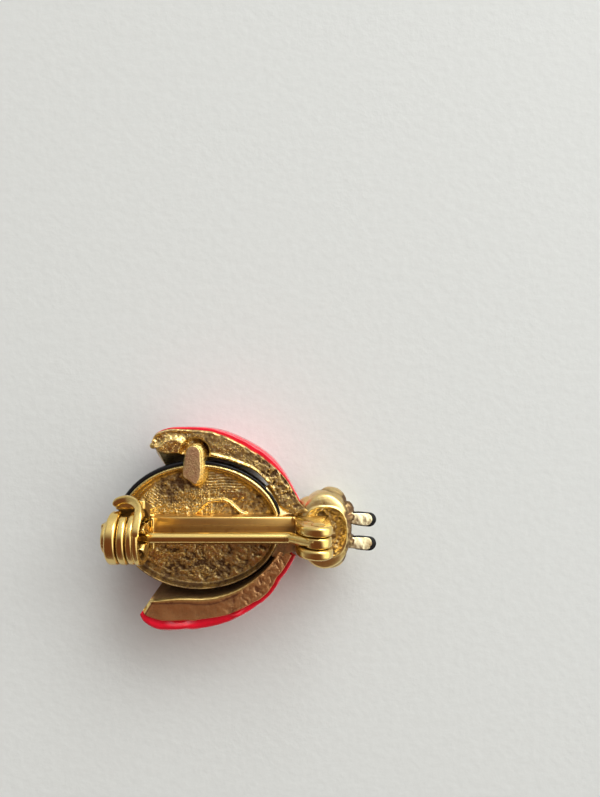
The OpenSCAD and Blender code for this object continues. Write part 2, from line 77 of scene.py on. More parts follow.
# Room between a piece of enamel and its metal
SEAT = 0.03
GRAIN_SEED = 11

# Columns of a wing's table: angle from the head, then shares of the gap to the rim, the flat
# back's width, the enamel's bulge, the depth and the inner wall's lean
ANGLE, GAP, WIDTH, BULGE, DEPTH, LEAN = range(6)
UPPER_WING = np.array([
    [14, 0.70, 0.76, 0.08, 0.55, 0.00],
    [22, 0.70, 0.74, 0.12, 0.68, 0.00],
    [31, 0.88, 0.70, 0.25, 0.80, 0.00],
    [45, 1.14, 0.65, 0.50, 0.93, 0.10],
    [60, 0.98, 0.77, 0.55, 1.00, 0.15],
    [80, 1.00, 1.00, 0.38, 1.00, 0.25],
    [97, 1.35, 1.00, 0.28, 0.97, 0.50],
    [108, 1.72, 1.02, 0.14, 0.88, 0.90],
    [115, 2.10, 0.86, 0.04, 0.76, 1.10],
    [119, 2.75, 0.45, 0.01, 0.62, 1.20],
])
# The upper wing's narrow metal end runs on past its enamel to the head
UPPER_END = np.array([[8, 1.78, 0.65, 0.0, 0.22, 0.00]])
LOWER_WING = np.array([
    [17, 0.56, 0.60, 0.36, 0.55, 0.00],
    [24, 0.54, 0.60, 0.40, 0.68, 0.00],
    [33, 0.54, 0.65, 0.42, 0.80, 0.00],
    [47, 0.64, 0.80, 0.45, 0.93, 0.00],
    [60, 0.82, 0.86, 0.60, 1.00, 0.10],
    [80, 1.00, 0.90, 0.90, 1.00, 0.25],
    [96, 1.02, 0.95, 1.05, 1.00, 0.25],
    [106, 1.22, 1.05, 1.08, 0.95, 0.45],
    [114, 1.70, 1.00, 1.00, 0.84, 0.75],
    [120, 2.25, 0.80, 0.75, 0.72, 0.80],
    [124, 2.60, 0.62, 0.45, 0.62, 0.70],
])
# Each wing's table with its side: 1 is towards +Y
WINGS = {"upper": (UPPER_WING, 1), "lower": (LOWER_WING, -1)}

# Metal finishes: slot, bright and dull colour, roughness where bright and where dull, fineness and
# amount of the speckle, height of its relief in metres, and how pale the worn specks are
METALS = {
    "rough_gold": ("cast_gold", "gold", "tarnish", 0.20, 0.58, 3600.0, 0.55, 3e-5, 0.7),
    "smooth_cast_gold": (
        "cast_gold", (0.92, 0.56, 0.25), (0.30, 0.14, 0.07), 0.34, 0.5, 2500.0, 0.25, 8e-6, 0.1),
    "two_tone_gold": (
        "cast_gold", (0.88, 0.72, 0.36), (0.50, 0.29, 0.16), 0.20, 0.46, 5200.0, 0.3, 6e-5, 0.2),
    "head_gold": ("cast_gold", (0.74, 0.57, 0.24), "tarnish", 0.26, 0.5, 2600.0, 0.22, 1e-5, 0.3),
    "bright_worn_gold": (
        "cast_gold", (1.0, 0.94, 0.62), (0.36, 0.22, 0.09), 0.26, 0.5, 2600.0, 0.3, 1e-5, 0.3),
    "pale_gold": ("cast_gold", "pale", "tarnish", 0.18, 0.5, 2600.0, 0.22, 1e-5, 0.3),
    "polished_brass": ("polished_gold", "gold", "tarnish", 0.13, 0.45, 1500.0, 0.10, 1.5e-6, 0.0),
    "satin_brass": ("polished_gold", "gold", "tarnish", 0.18, 0.5, 1500.0, 0.15, 3e-6, 0.0),
    # The bar's dull colour shows mostly as painted shade along its lower edge.
    "bar_brass": (
        "polished_gold", (0.80, 0.53, 0.17), (0.20, 0.09, 0.025), 0.24, 0.5, 1500.0, 0.15, 3e-6, 0.0),
}
# Enamels: slot, colour, deeper colour, height of the waves in metres and strength of the gloss
ENAMELS = {
    "red_glaze": ("red_enamel", "red", (0.62, 0.004, 0.02), 1e-5, 1.0),
    "black_glaze": ("black_enamel", "black", (0.010, 0.010, 0.012), 6e-6, 0.25),
}


def size(name, about, default, low=0.0):
    """A length that a user can change."""
    return bpy.props.FloatProperty(name=name, description=about, default=default, min=low, unit="LENGTH")


def tint(name, about, default):
    """A colour that a user can change."""
    return bpy.props.FloatVectorProperty(
        name=name, description=about, default=default, size=3, min=0, max=1, subtype="COLOR"
    )


class BroochBody(bpy.types.PropertyGroup):
    """Sizes of the body and its sunken back."""

    back: size("Back height", "Height of the back's rim", 0.0058)
    length: size("Body length", "Length of the rim round the body", 0.0162)
    width: size("Body width", "Width of the rim round the body", 0.0125)
    rim: size("Rim width", "Width of the raised rim", 0.00045)
    recess: size("Recess depth", "Depth of the sunken back", 0.0009)
    lift: size("Dome lift", "Space under the body's dome", 0.00025)
    coat: size("Body enamel", "Thickness of the enamel on the body", 0.00028)


class BroochWings(bpy.types.PropertyGroup):
    """Sizes of the wings, the strut and their enamel."""

    gap: size("Wing gap", "Gap between the body's rim and a wing", 0.0008)
    width: size("Wing width", "Width of a wing's flat back", 0.0025)
    bulge: size("Wing bulge", "How far the enamel bulges past the back", 0.0011)
    lean: size("Wing lean", "How far the inner wall leans in", 0.0015)
    coat: size("Wing enamel", "Thickness of the enamel on the wings", 0.00042)
    strut: size("Strut height", "How far the strut stands above the rim", 0.0005)
    notch: size("Notch depth", "Depth of the notch round the strut's end", 0.0007)


class BroochHead(bpy.types.PropertyGroup):
    """Sizes of the head, its eyes and the antennae."""

    middle: size("Head place", "Distance from the body's centre to the head's", 0.0126)
    length: size("Head length", "Length of the head", 0.0052)
    width: size("Head width", "Width of the head", 0.007)
    recess: size("Head recess", "Depth of the hollow in the head's back", 0.0008)
    rim: size("Head rim", "Width of the rim round that hollow", 0.00032)
    eye: size("Eye radius", "Radius of an eye", 0.00175)
    eye_gap: size("Eye distance", "Distance between the eyes", 0.0049)
    antenna: size("Antenna radius", "Radius of an antenna with its enamel", 0.00072)


class BroochPin(bpy.types.PropertyGroup):
    """Sizes of the bar, the hinge, the wire and the catch."""

    bar_width: size("Bar width", "Width of the bar", 0.0032)
    bar_height: size("Bar thickness", "Thickness of the bar", 0.0008)
    wire: size("Wire radius", "Radius of the pin's wire", 0.0005)
    ear: size("Ear thickness", "Thickness of a hinge ear", 0.00095)
    ear_round: size("Ear radius", "Radius of a hinge ear's top", 0.00138)
    rivet: size("Rivet radius", "Radius of the rivet", 0.00045)
    band: size("Band radius", "Radius of the roller's bands", 0.00255)
    band_depth: size("Band depth", "How far a band stands out of its tube", 0.00055)
    hook: size("Hook radius", "Outside radius of the fixed hook", 0.00138)
    hook_bore: size("Hook bore", "Inside radius of the fixed hook", 0.00064)


class BroochFinish(bpy.types.PropertyGroup):
    """Colours of the finishes."""

    gold: tint("Gold", "Bright plating", (0.88, 0.65, 0.22))
    pale: tint("Pale gold", "Plating where it is thin and pale", (0.86, 0.72, 0.40))
    tarnish: tint("Tarnish", "Dull plating in the hollows", (0.15, 0.088, 0.045))
    red: tint("Red enamel", "Enamel on the wings", (0.80, 0.008, 0.035))
    black: tint("Black enamel", "Enamel on the body and the antennae", (0.006, 0.006, 0.007))
    paper: tint("Paper", "Surface that the brooch lies on", (0.70, 0.745, 0.745))


class BroochStage(bpy.types.PropertyGroup):
    """Camera and light."""

    camera_x: size("Camera along", "Place of the camera along the pin", 0.00555, -1)
    camera_y: size("Camera across", "Place of the camera across the pin", 0.013149, -1)
    camera_z: size("Camera height", "Height of the camera", 0.0634)
    view: bpy.props.FloatProperty(
        name="Field of view", description="Across the width of the picture",
        default=2*math.atan(300/576), subtype="ANGLE",
    )
    window: bpy.props.FloatProperty(
        name="Window light", description="Strength of the soft main light", default=1.0, unit="POWER"
    )


# Shapes as arrays of points

def mix(a, b, t):
    return a + (b - a)*t


def ease(value, low, high):
    """0 below low, 1 above high, smooth between them."""
    t = np.clip((value - low)/(high - low), 0, 1)
    return t*t*(3 - 2*t)


def between(value, low, risen, high, fade):
    """0 outside low and high and 1 well inside: it rises up to risen and fades before high."""
    return ease(value, low, risen)*ease(high - value, 0, fade)


def peak(value, middle, width):
    """1 at the middle, falling off smoothly to both sides."""
    return np.exp(-((value - middle)/width)**2)


def blunted(share, start, least):
    """Share of the radius that a round end keeps: 1 up to the start, the least at 1."""
    return math.sqrt(max(1 - (max(share - start, 0)/(1 - start))**2, least))


def bow(start, corner, end, t):
    """Point of a curve that leaves one end towards a corner and comes to the other from it."""
    return (1 - t)**2*start + 2*t*(1 - t)*corner + t**2*end


def lattice(ix, iy, seed):
    """Repeatable number from 0 to 1 for each point of a square lattice."""
    n = (ix.astype(np.int64)*374761393 + iy.astype(np.int64)*668265263 + seed*144665) & 0xFFFFFFFF
    n = ((n ^ (n >> 13))*1274126177) & 0xFFFFFFFF
    return (n ^ (n >> 16))/0xFFFFFFFF


def ripple(x, y, seed):
    """Smooth noise from 0 to 1, one lump to each unit."""
    ix, iy = np.floor(x), np.floor(y)
    tx, ty = ease(x - ix, 0, 1), ease(y - iy, 0, 1)
    low, high = (mix(lattice(ix, row, seed), lattice(ix + 1, row, seed), tx) for row in (iy, iy + 1))
    return mix(low, high, ty)


def rough(x, y, lump, seed, octaves=4):
    """Cast roughness from 0 to 1, whose largest lumps are that many millimetres wide."""
    total, weight, out = 0.0, 1.0, 0.0
    for octave in range(octaves):
        step = 2.03**octave/lump
        out = out + weight*ripple(x*step + 17*octave, y*step - 9*octave, seed + octave)
        total += weight
        weight *= 0.55
    return out/total


def uneven(x, y, lump, seed):
    """Cast roughness from -0.5 to 0.5."""
    return rough(x, y, lump, seed) - 0.5


def pebbles(x, y, grain, seed):
    """Distance to the nearest grain of a jittered lattice, in grains."""
    x, y = x/grain, y/grain
    nearest = np.full(np.shape(x), 9.0)
    for cell in range(9):
        ix, iy = np.floor(x) + cell//3 - 1, np.floor(y) + cell % 3 - 1
        px = ix + 0.15 + 0.7*lattice(ix, iy, seed)
        py = iy + 0.15 + 0.7*lattice(ix, iy, seed + 7)
        nearest = np.minimum(nearest, np.hypot(x - px, y - py))
    return nearest


def smooth_rows(table, places):
    """Rows of a table at places from 0 to 1 along it, on one smooth curve."""
    last = len(table) - 1
    s = np.clip(places, 0, 1)*last
    i = np.minimum(np.floor(s).astype(int), last - 1)
    t = (s - i)[:, None]
    a, b = table[np.maximum(i - 1, 0)], table[i]
    c, d = table[i + 1], table[np.minimum(i + 2, last)]
    return 0.5*(2*b + (c - a)*t + (2*a - 5*b + 4*c - d)*t**2 + (3*b - a - 3*c + d)*t**3)


def smooth_outline(corners, steps):
    """Closed smooth curve through a few corners."""
    corners = np.array(corners, float)
    table = np.vstack([corners[-1:], corners, corners[:3]])
    return smooth_rows(table, (1 + np.arange(len(corners)*steps)/steps)/(len(table) - 1))


def rounded_outline(corners, radius, steps=6):
    """Closed outline of straight sides, its corners rounded."""
    out = []
    corners = np.array(corners, float)
    for before, here, after in zip(np.roll(corners, 1, 0), corners, np.roll(corners, -1, 0)):
        sides = [before - here, after - here]
        lengths = [np.linalg.norm(side) for side in sides]
        reach = min(radius, *(0.45*length for length in lengths))
        start, end = (here + side/length*reach for side, length in zip(sides, lengths))
        out += [bow(start, here, end, t) for t in np.linspace(0, 1, steps)]
    return np.array(out)


def box_outline(x0, x1, y0, y1, radius, steps=6):
    return rounded_outline([(x0, y0), (x1, y0), (x1, y1), (x0, y1)], radius, steps)


def grown(outline, distance):
    """Outline moved outwards along its own normals."""
    ahead, behind = np.roll(outline, -1, 0), np.roll(outline, 1, 0)
    along = ahead - behind
    along /= np.maximum(np.linalg.norm(along, axis=1, keepdims=True), 1e-9)
    area = np.sum(outline[:, 0]*ahead[:, 1] - ahead[:, 0]*outline[:, 1])
    outwards = np.stack([along[:, 1], -along[:, 0]], 1)*(1 if area > 0 else -1)
    return outline + outwards*distance


def to_line(points, x, y):
    """Distance from points to an open line."""
    nearest = np.full(np.shape(x), 1e9)
    for (ax, ay), (bx, by) in zip(points[:-1], points[1:]):
        dx, dy = bx - ax, by - ay
        t = np.clip(((x - ax)*dx + (y - ay)*dy)/(dx*dx + dy*dy), 0, 1)
        nearest = np.minimum(nearest, np.hypot(x - ax - t*dx, y - ay - t*dy))
    return nearest


def away_from(outline, x, y):
    """Distance from points to a closed outline, negative inside it."""
    inside = np.zeros(np.shape(x), bool)
    for (ax, ay), (bx, by) in zip(outline, np.roll(outline, -1, 0)):
        rise = by - ay or 1e-12
        inside ^= ((ay > y) != (by > y)) & (x < ax + (y - ay)*(bx - ax)/rise)
    return np.where(inside, -1, 1)*to_line(np.vstack([outline, outline[:1]]), x, y)


def round_line(points, line):
    """Distance of points from a line along X, and the angle round it from straight up."""
    across, up = (points[:, 1:] - line[1:]).T
    return np.hypot(across, up), np.arctan2(across, up)


def full_turn(count):
    return 2*np.pi*np.arange(count)/count


def level(ring, height):
    """Flat ring at a height."""
    return np.column_stack([ring, np.full(len(ring), height)])


def oval_ring(a, b, height, count):
    turn = full_turn(count)
    return np.column_stack([a*np.cos(turn), b*np.sin(turn), np.broadcast_to(height, count)])


# Closed shapes as points and faces

def ring_faces(rings, n):
    """Quads between rings of n points each."""
    r = np.arange(rings - 1)[:, None]*n
    i = np.arange(n)[None, :]
    j = (i + 1) % n
    return np.stack([r + i, r + j, r + n + j, r + n + i], -1).reshape(-1, 4).tolist()


def closed_loft(rings):
    """Shape lofted through rings, with a point at each end."""
    n = len(rings[0])
    points = np.vstack([*rings, rings[0].mean(0)[None], rings[-1].mean(0)[None]])
    first, last = len(points) - 2, len(points) - 1
    end = (len(rings) - 1)*n
    faces = ring_faces(len(rings), n)
    faces += [[first, (i + 1) % n, i] for i in range(n)]
    faces += [[last, end + i, end + (i + 1) % n] for i in range(n)]
    return points, faces


def closed_ring(rings):
    """Shape lofted through rings whose last one meets the first."""
    n = len(rings[0])
    faces = [[i % (len(rings)*n) for i in face] for face in ring_faces(len(rings) + 1, n)]
    return np.vstack(rings), faces


def joined(shapes):
    """Several shapes as one."""
    points, faces, start = [], [], 0
    for shape_points, shape_faces in shapes:
        points.append(np.asarray(shape_points, float))
        faces += [[start + i for i in face] for face in shape_faces]
        start += len(shape_points)
    return np.vstack(points), faces


def slab(outline, low, high, rounding, steps, order=(0, 1, 2)):
    """Slab over an outline, with rounded edges; order says which axes its three numbers are."""
    turn = np.linspace(0, math.pi/2, steps + 1)
    inset, drop = rounding*(1 - np.sin(turn)), rounding*(1 - np.cos(turn))
    edges = [*zip(inset, low + drop), *zip(inset[::-1], high - drop[::-1])]
    return closed_loft([level(grown(outline, -i), z)[:, order] for i, z in edges])


def dome_rings(a, b, top, depth, count, square, around):
    """Rings of a dome that hangs down, from its widest one towards its pole."""
    rings = []
    for k in range(count):
        turn = 0.5*math.pi*k/count
        share = math.cos(turn)**(2/square)
        rings.append(oval_ring(a*share, b*share, top - depth*math.sin(turn)**(2/square), around))
    return rings


def ball(centre, radii, sides=48):
    """Ellipsoid."""
    rings = []
    for turn in np.linspace(-0.5*math.pi, 0.5*math.pi, sides//2)[1:-1]:
        share, height = math.cos(turn), radii[2]*math.sin(turn)
        rings.append(oval_ring(radii[0]*share, radii[1]*share, height, sides) + centre)
    return closed_loft(rings)


def turned(profile, centre, order, sides):
    """Round shape, from places along its axis and the radius at each; order as for a slab."""
    turn = full_turn(sides)
    rings = []
    for along, radius in profile:
        ring = np.column_stack([np.full(sides, along), radius*np.cos(turn), radius*np.sin(turn)])
        rings.append(ring[:, order] + centre)
    return closed_loft(rings)


def swung(section, centre, first, last, steps=96, blunt=0.0):
    """Section of places and radii, swung round the X axis between two angles.

    Angles are in degrees from straight up towards +Y; blunt degrees at each end are rounded off.
    """
    section = np.asarray(section, float)
    middle = section.mean(0)
    rings = []
    for angle in np.linspace(first, last, steps):
        edge = min(angle - first, last - angle)
        swell = 1.0 if edge >= blunt else math.sqrt(max(1 - (1 - edge/blunt)**2, 0.02))
        place, radius = (middle + (section - middle)*swell).T
        turn = math.radians(angle)
        rings.append(np.column_stack([place, radius*math.sin(turn), radius*math.cos(turn)]) + centre)
    return closed_loft(rings)


def strap(path, wide, tall, count=56, sides=28):
    """Bar of oval section along a smooth path, its two half sizes running from end to end."""
    line = smooth_rows(np.array(path, float), np.linspace(0, 1, count))
    turn = full_turn(sides)
    flat = [np.sign(wave)*np.abs(wave)**0.62 for wave in (np.cos(turn), np.sin(turn))]
    rings = []
    for share, place, way in zip(np.linspace(0, 1, count), line, np.gradient(line, axis=0)):
        way = way/np.linalg.norm(way)
        across = np.cross(way, (0, 0, 1))
        across /= np.linalg.norm(across)
        lift = np.cross(across, way)
        offset = np.outer(flat[0]*mix(*wide, share), across) + np.outer(flat[1]*mix(*tall, share), lift)
        rings.append(place + blunted(1 - min(share, 1 - share), 0.9, 0.02)*offset)
    return closed_loft(rings)


# How a bar's end is rounded: steps from its end, and how much smaller it is there
BAR_ENDS = [(0.0, 0.14), (0.05, 0.05), (0.14, 0.0)]


def bar_shape(along, across, heights, crown, lopsided=False):
    """Bar along X with rounded edges and a crowned top, which may be highest near its -Y edge.

    Its extents along, across and in height are pairs.
    """
    section = box_outline(*across, *heights, 0.2, 8)
    dense = []
    for here, ahead in zip(section, np.roll(section, -1, 0)):
        count = max(int(np.linalg.norm(ahead - here)/0.15), 1)
        dense += [mix(here, ahead, k/count) for k in range(count)]
    dense = np.array(dense)
    half = (across[1] - across[0])/2
    ridge, reach = (across[0] + 0.35, 2*half - 0.35) if lopsided else (sum(across)/2, half)
    share = np.clip((dense[:, 0] - ridge)/reach, -0.35, 1)
    dense[:, 1] += crown*(1 - share**2)*ease(dense[:, 1], heights[1] - 0.3, heights[1])
    centre = dense.mean(0)
    ends = [(along[0] + step, inset) for step, inset in BAR_ENDS]
    ends += [(along[1] - step, inset) for step, inset in BAR_ENDS[::-1]]
    return closed_loft([
        np.column_stack([np.full(len(dense), x), centre + (dense - centre)*(1 - inset/half)])
        for x, inset in ends
    ])


# Objects

def linked(name, mesh):
    """New object in the scene."""
    made = bpy.data.objects.new(name, mesh)
    bpy.context.scene.collection.objects.link(made)
    return made


def bare_object(name, shape):
    """Object in millimetres, with its faces turned outwards."""
    points, faces = shape
    mesh = bpy.data.meshes.new(name)
    mesh.from_pydata(np.asarray(points).tolist(), [], faces)
    shell = bmesh.new()
    shell.from_mesh(mesh)
    bmesh.ops.remove_doubles(shell, verts=shell.verts, dist=1e-5)
    bmesh.ops.recalc_face_normals(shell, faces=shell.faces)
    shell.to_mesh(mesh)
    shell.free()
    mesh.polygons.foreach_set("use_smooth", np.ones(len(mesh.polygons), bool))
    return linked(name, mesh)


def whole_object(name, shape):
    """Bare object whose points keep their number and order."""
    made = bare_object(name, shape)
    if len(made.data.vertices) != len(shape[0]):
        raise RuntimeError("points were merged in " + name)
    return made


def baked(made):
    """Applies an object's modifiers."""
    bpy.context.view_layer.update()
    graph = bpy.context.evaluated_depsgraph_get()
    mesh = bpy.data.meshes.new_from_object(made.evaluated_get(graph), depsgraph=graph)
    made.modifiers.clear()
    old, made.data = made.data, mesh
    mesh.name = made.name
    bpy.data.meshes.remove(old)
    return made


def remeshed(shapes, voxel, name):
    """One skin round several overlapping shapes."""
    made = bare_object(name, joined(shapes))
    remesh = made.modifiers.new("Skin", "REMESH")
    remesh.mode = "VOXEL"
    remesh.voxel_size = voxel
    remesh.use_smooth_shade = True
    relax = made.modifiers.new("Relax", "SMOOTH")
    relax.factor = 0.5
    relax.iterations = RELAX
    return baked(made)


def taken_apart(made):
    """Points and faces of an object, which is removed."""
    shape = vertex_points(made), [tuple(face.vertices) for face in made.data.polygons]
    bpy.data.objects.remove(made)
    return shape


def vectors(items, name):
    """Three numbers for each vertex, as an array."""
    flat = np.empty(3*len(items))
    items.foreach_get(name, flat)
    return flat.reshape(-1, 3)


def vertex_points(made):
    return vectors(made.data.vertices, "co")


def vertex_normals(made):
    return vectors(made.data.vertex_normals, "vector")


def move_vertices(made, points):
    made.data.vertices.foreach_set("co", np.asarray(points).ravel())
    made.data.update()


def mark(made, **marks):
    """Stores numbers from 0 to 1 at each vertex: what the materials and the grain tree read."""
    for name, values in marks.items():
        found = made.data.attributes.get(name) or made.data.attributes.new(name, "FLOAT", "POINT")
        values = np.broadcast_to(np.clip(values, 0, 1), len(made.data.vertices))
        found.data.foreach_set("value", values.astype(np.float32))


def body_centre():
    """Middle of the body's oval, in the frame's metres."""
    body = bpy.context.scene.brooch_body
    low, high = np.array(COAT_BOX, float)
    x = low[0] + body.length/2 + (high[1] - low[1] - body.width)/2
    return np.array([x, (low[1] + high[1])/2, 0])


def finish(made, look, *nodes, body="brooch"):
    """Brings a piece to metres in the frame, gives it its finish and ties it to a body."""
    low, high = np.array(CAD_BOX, float)
    move_vertices(made, np.clip(vertex_points(made)*MM + body_centre(), low, high))
    made.data.materials.clear()
    made.data.materials.append(named_material(look))
    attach(made, body)
    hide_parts(*nodes)


def mm_box(box):
    """Corners of one of the frame's boxes in millimetres about the body's centre."""
    return (np.array(box, float) - body_centre())/MM


def sizes():
    """Sizes in millimetres under their group's name and their own, and the pin-back's places."""
    s = SimpleNamespace()
    for group in ("body", "wings", "head", "pin"):
        values = getattr(bpy.context.scene, "brooch_" + group)
        for name in values.__annotations__:
            setattr(s, group + "_" + name, getattr(values, name)/MM)
    rivet, roller = mm_box(RIVET_BOX), mm_box(ROLLER_BOX)
    s.rivet, s.rivet_half = rivet.mean(0), (rivet[1] - rivet[0])[1]/2
    s.left, s.right = roller[:, 0]
    s.line = np.array([0, s.rivet[1], roller.mean(0)[2]])
    s.tip = mm_box(WIRE_BOX)[0][0]
    s.half_length, s.half_width, s.back = s.body_length/2, s.body_width/2, s.body_back
    s.floor = s.back - s.body_recess
    return s


class Maker:
    """What the operators of the pieces share."""

    def execute(self, context):
        self.build(sizes())
        return {"FINISHED"}


# Geometry node trees

SOCKET_KINDS = {int: "NodeSocketInt", float: "NodeSocketFloat", tuple: "NodeSocketColor"}


def add_inputs(tree, inputs):
    """Named inputs, whose kinds follow from their values; one with no value is a material."""
    for label, value in inputs.items():
        kind = SOCKET_KINDS.get(type(value), "NodeSocketMaterial")
        socket = tree.interface.new_socket(label, in_out="INPUT", socket_type=kind)
        if value is not None:
            socket.default_value = value
    return tree.nodes.new("NodeGroupInput").outputs


def new_tree(name, **inputs):
    """Geometry node tree and the sockets of its inputs."""
    tree = bpy.data.node_groups.new(name, "GeometryNodeTree")
    tree.is_modifier = True
    for way in ("INPUT", "OUTPUT"):
        tree.interface.new_socket("Geometry", in_out=way, socket_type="NodeSocketGeometry")
    return tree, add_inputs(tree, inputs)


def join(tree, socket, value):
    """Links an input to another node's output, or sets it to a plain value."""
    if isinstance(value, bpy.types.NodeSocket):
        tree.links.new(value, socket)
    else:
        socket.default_value = value


def add_node(tree, kind, *values, **named):
    """Adds a node and returns its first output.

    Inputs are given in their order or by name; names in small letters are the node's settings.
    """
    node = tree.nodes.new(kind)
    for key in [key for key in named if key.islower()]:
        setattr(node, key, named.pop(key))
    sockets = [socket for socket in node.inputs if socket.enabled]
    for socket, value in zip(sockets, values):
        join(tree, socket, value)
    for key, value in named.items():
        join(tree, next(s for s in sockets if s.name == key.replace("_", " ")), value)
    return next(s for s in node.outputs if s.enabled)


def end_tree(tree, geometry, material):
    """Realizes the instances, sets the material and ends the tree."""
    real = add_node(tree, "GeometryNodeRealizeInstances", geometry)
    painted = add_node(tree, "GeometryNodeSetMaterial", real, Material=material)
    tree.links.new(painted, tree.nodes.new("NodeGroupOutput").inputs["Geometry"])
    return tree


def run_tree(made, tree, **values):
    """Runs a tree on an object with its inputs set by their identifiers, and bakes it."""
    modifier = made.modifiers.new(tree.name, "NODES")
    modifier.node_group = tree
    for item in tree.interface.items_tree:
        if item.item_type == "SOCKET" and item.in_out == "INPUT" and item.name in values:
            modifier[item.identifier] = values[item.name]
    return baked(made)


def wire_tree():
    """Sweeps a round wire along a line of points, as thick as their own thick attribute."""
    tree, start = new_tree("Wire along a line", Sides=24, Material=None)
    line = add_node(tree, "GeometryNodeMeshToCurve", start["Geometry"])
    thick = add_node(tree, "GeometryNodeInputNamedAttribute", data_type="FLOAT", Name="thick")
    ring = add_node(tree, "GeometryNodeCurvePrimitiveCircle", Resolution=start["Sides"], Radius=1.0)
    swept = add_node(
        tree, "GeometryNodeCurveToMesh", line, Profile_Curve=ring, Scale=thick, Fill_Caps=True
    )
    smooth = add_node(tree, "GeometryNodeSetShadeSmooth", swept, Shade_Smooth=True)
    return end_tree(tree, smooth, start["Material"])


def band_tree():
    """Sweeps a round-edged band round part of a turn about the X axis."""
    tree, start = new_tree(
        "Band round a tube",
        Radius=1.0, Start=0.0, Sweep=1.0, Width=1.0, Depth=1.0, Rounding=0.1, Material=None,
    )
    arc = add_node(
        tree, "GeometryNodeCurveArc", Resolution=96, Radius=start["Radius"],
        Start_Angle=start["Start"], Sweep_Angle=start["Sweep"],
    )
    section = add_node(
        tree, "GeometryNodeCurvePrimitiveQuadrilateral", Width=start["Depth"], Height=start["Width"]
    )
    rounded = add_node(
        tree, "GeometryNodeFilletCurve", section, mode="POLY", Count=6, Radius=start["Rounding"]
    )
    swept = add_node(tree, "GeometryNodeCurveToMesh", arc, Profile_Curve=rounded, Fill_Caps=True)
    upright = add_node(tree, "GeometryNodeTransform", swept, Rotation=(0.0, -0.5*math.pi, 0.0))
    return end_tree(tree, upright, start["Material"])


def grit_tree():
    """Scatters cast grains over the faces whose grit attribute is high."""
    tree, start = new_tree("Cast grains", Density=10.0, Grain=0.1, Seed=GRAIN_SEED, Material=None)
    seed = start["Seed"]
    mask = add_node(tree, "GeometryNodeInputNamedAttribute", data_type="FLOAT", Name="grit")
    density = times(tree, start["Density"], mask)
    spread = add_node(
        tree, "GeometryNodeDistributePointsOnFaces", start["Geometry"], Density=density, Seed=seed
    )
    grain = add_node(tree, "GeometryNodeMeshIcoSphere", start["Grain"], Subdivisions=2)
    turn, growth = (
        add_node(tree, "FunctionNodeRandomValue", low, high, data_type="FLOAT_VECTOR", Seed=seed)
        for low, high in (((0, 0, 0), (6.28, 6.28, 6.28)), ((0.5, 0.4, 0.4), (1.5, 1.1, 0.9)))
    )
    placed = add_node(
        tree, "GeometryNodeInstanceOnPoints", spread, Instance=grain, Rotation=turn, Scale=growth
    )
    real = add_node(tree, "GeometryNodeRealizeInstances", placed)
    smooth = add_node(tree, "GeometryNodeSetShadeSmooth", real, Shade_Smooth=True)
    return end_tree(tree, smooth, start["Material"])


def scatter(made, name, wanted, density, grain):
    """Cast grains on a piece that is still in millimetres, as a piece of their own."""
    tree = bpy.data.node_groups.get("Cast grains") or grit_tree()
    grains = linked(name, made.data.copy())
    mark(grains, grit=wanted)
    run_tree(
        grains, tree, Density=density, Grain=grain, Seed=GRAIN_SEED, Material=named_material("rough_gold")
    )
    mark(grains, dirt=0)
    finish(grains, "rough_gold", "casting")


# Materials

def shader_group(name, inputs, outputs):
    """Shader node group, the sockets of its inputs and those of its outputs."""
    group = bpy.data.node_groups.new(name, "ShaderNodeTree")
    start = add_inputs(group, inputs)
    for label, kind in outputs.items():
        group.interface.new_socket(label, in_out="OUTPUT", socket_type=kind)
    return group, start, group.nodes.new("NodeGroupOutput").inputs


def maths(tree, operation, a, b, clamp=False):
    return add_node(tree, "ShaderNodeMath", a, b, operation=operation, use_clamp=clamp)


def times(tree, a, b):
    return maths(tree, "MULTIPLY", a, b)


def blended(tree, factor, a, b):
    """Mix of two colours."""
    return add_node(tree, "ShaderNodeMix", factor, a, b, data_type="RGBA")


def stretched(tree, value, low, high):
    """Value mapped from one range to 0 to 1, clamped."""
    return add_node(tree, "ShaderNodeMapRange", value, low, high, 0.0, 1.0, clamp=True)


def noise(tree, place, scale, detail, roughness):
    return add_node(
        tree, "ShaderNodeTexNoise", Vector=place, Scale=scale, Detail=detail, Roughness=roughness
    )


def object_place(tree):
    return tree.nodes.new("ShaderNodeTexCoord").outputs["Object"]


def opaque(colour):
    return (*colour, 1.0)


def tarnish_group():
    """Where plating is dull: where the dirt mark says, which is tarnish in hollows and in places painted
    shade, and in noise of its own.
    """
    group, start, end = shader_group(
        "Tarnish in hollows", {"Dirt": 0.0, "Grain": 4000.0, "Amount": 0.5},
        {"Mask": "NodeSocketFloat", "Height": "NodeSocketFloat"},
    )
    place = object_place(group)
    coarse = noise(group, place, start["Grain"], detail=5.0, roughness=0.62)
    finer = times(group, start["Grain"], 3.1)
    fine = noise(group, place, finer, detail=4.0, roughness=0.6)
    speckle = times(group, stretched(group, coarse, 0.5, 0.72), start["Amount"])
    join(group, end["Mask"], maths(group, "ADD", start["Dirt"], speckle, True))
    join(group, end["Height"], maths(group, "ADD", coarse, times(group, fine, 0.5)))
    return group


# Scales of the noises that warm the plating broadly and wear it in fine specks
BROAD, FINE = 900.0, 5200.0
# Colours that plating goes towards where it is broadly warmer, worn to specks, and where marked pale: rubbed
# bright, and in places painted light
WARM, WORN_PALE, RUBBED = (0.62, 0.32, 0.12, 1), (0.95, 0.86, 0.60, 1), (0.96, 0.74, 0.28, 1)


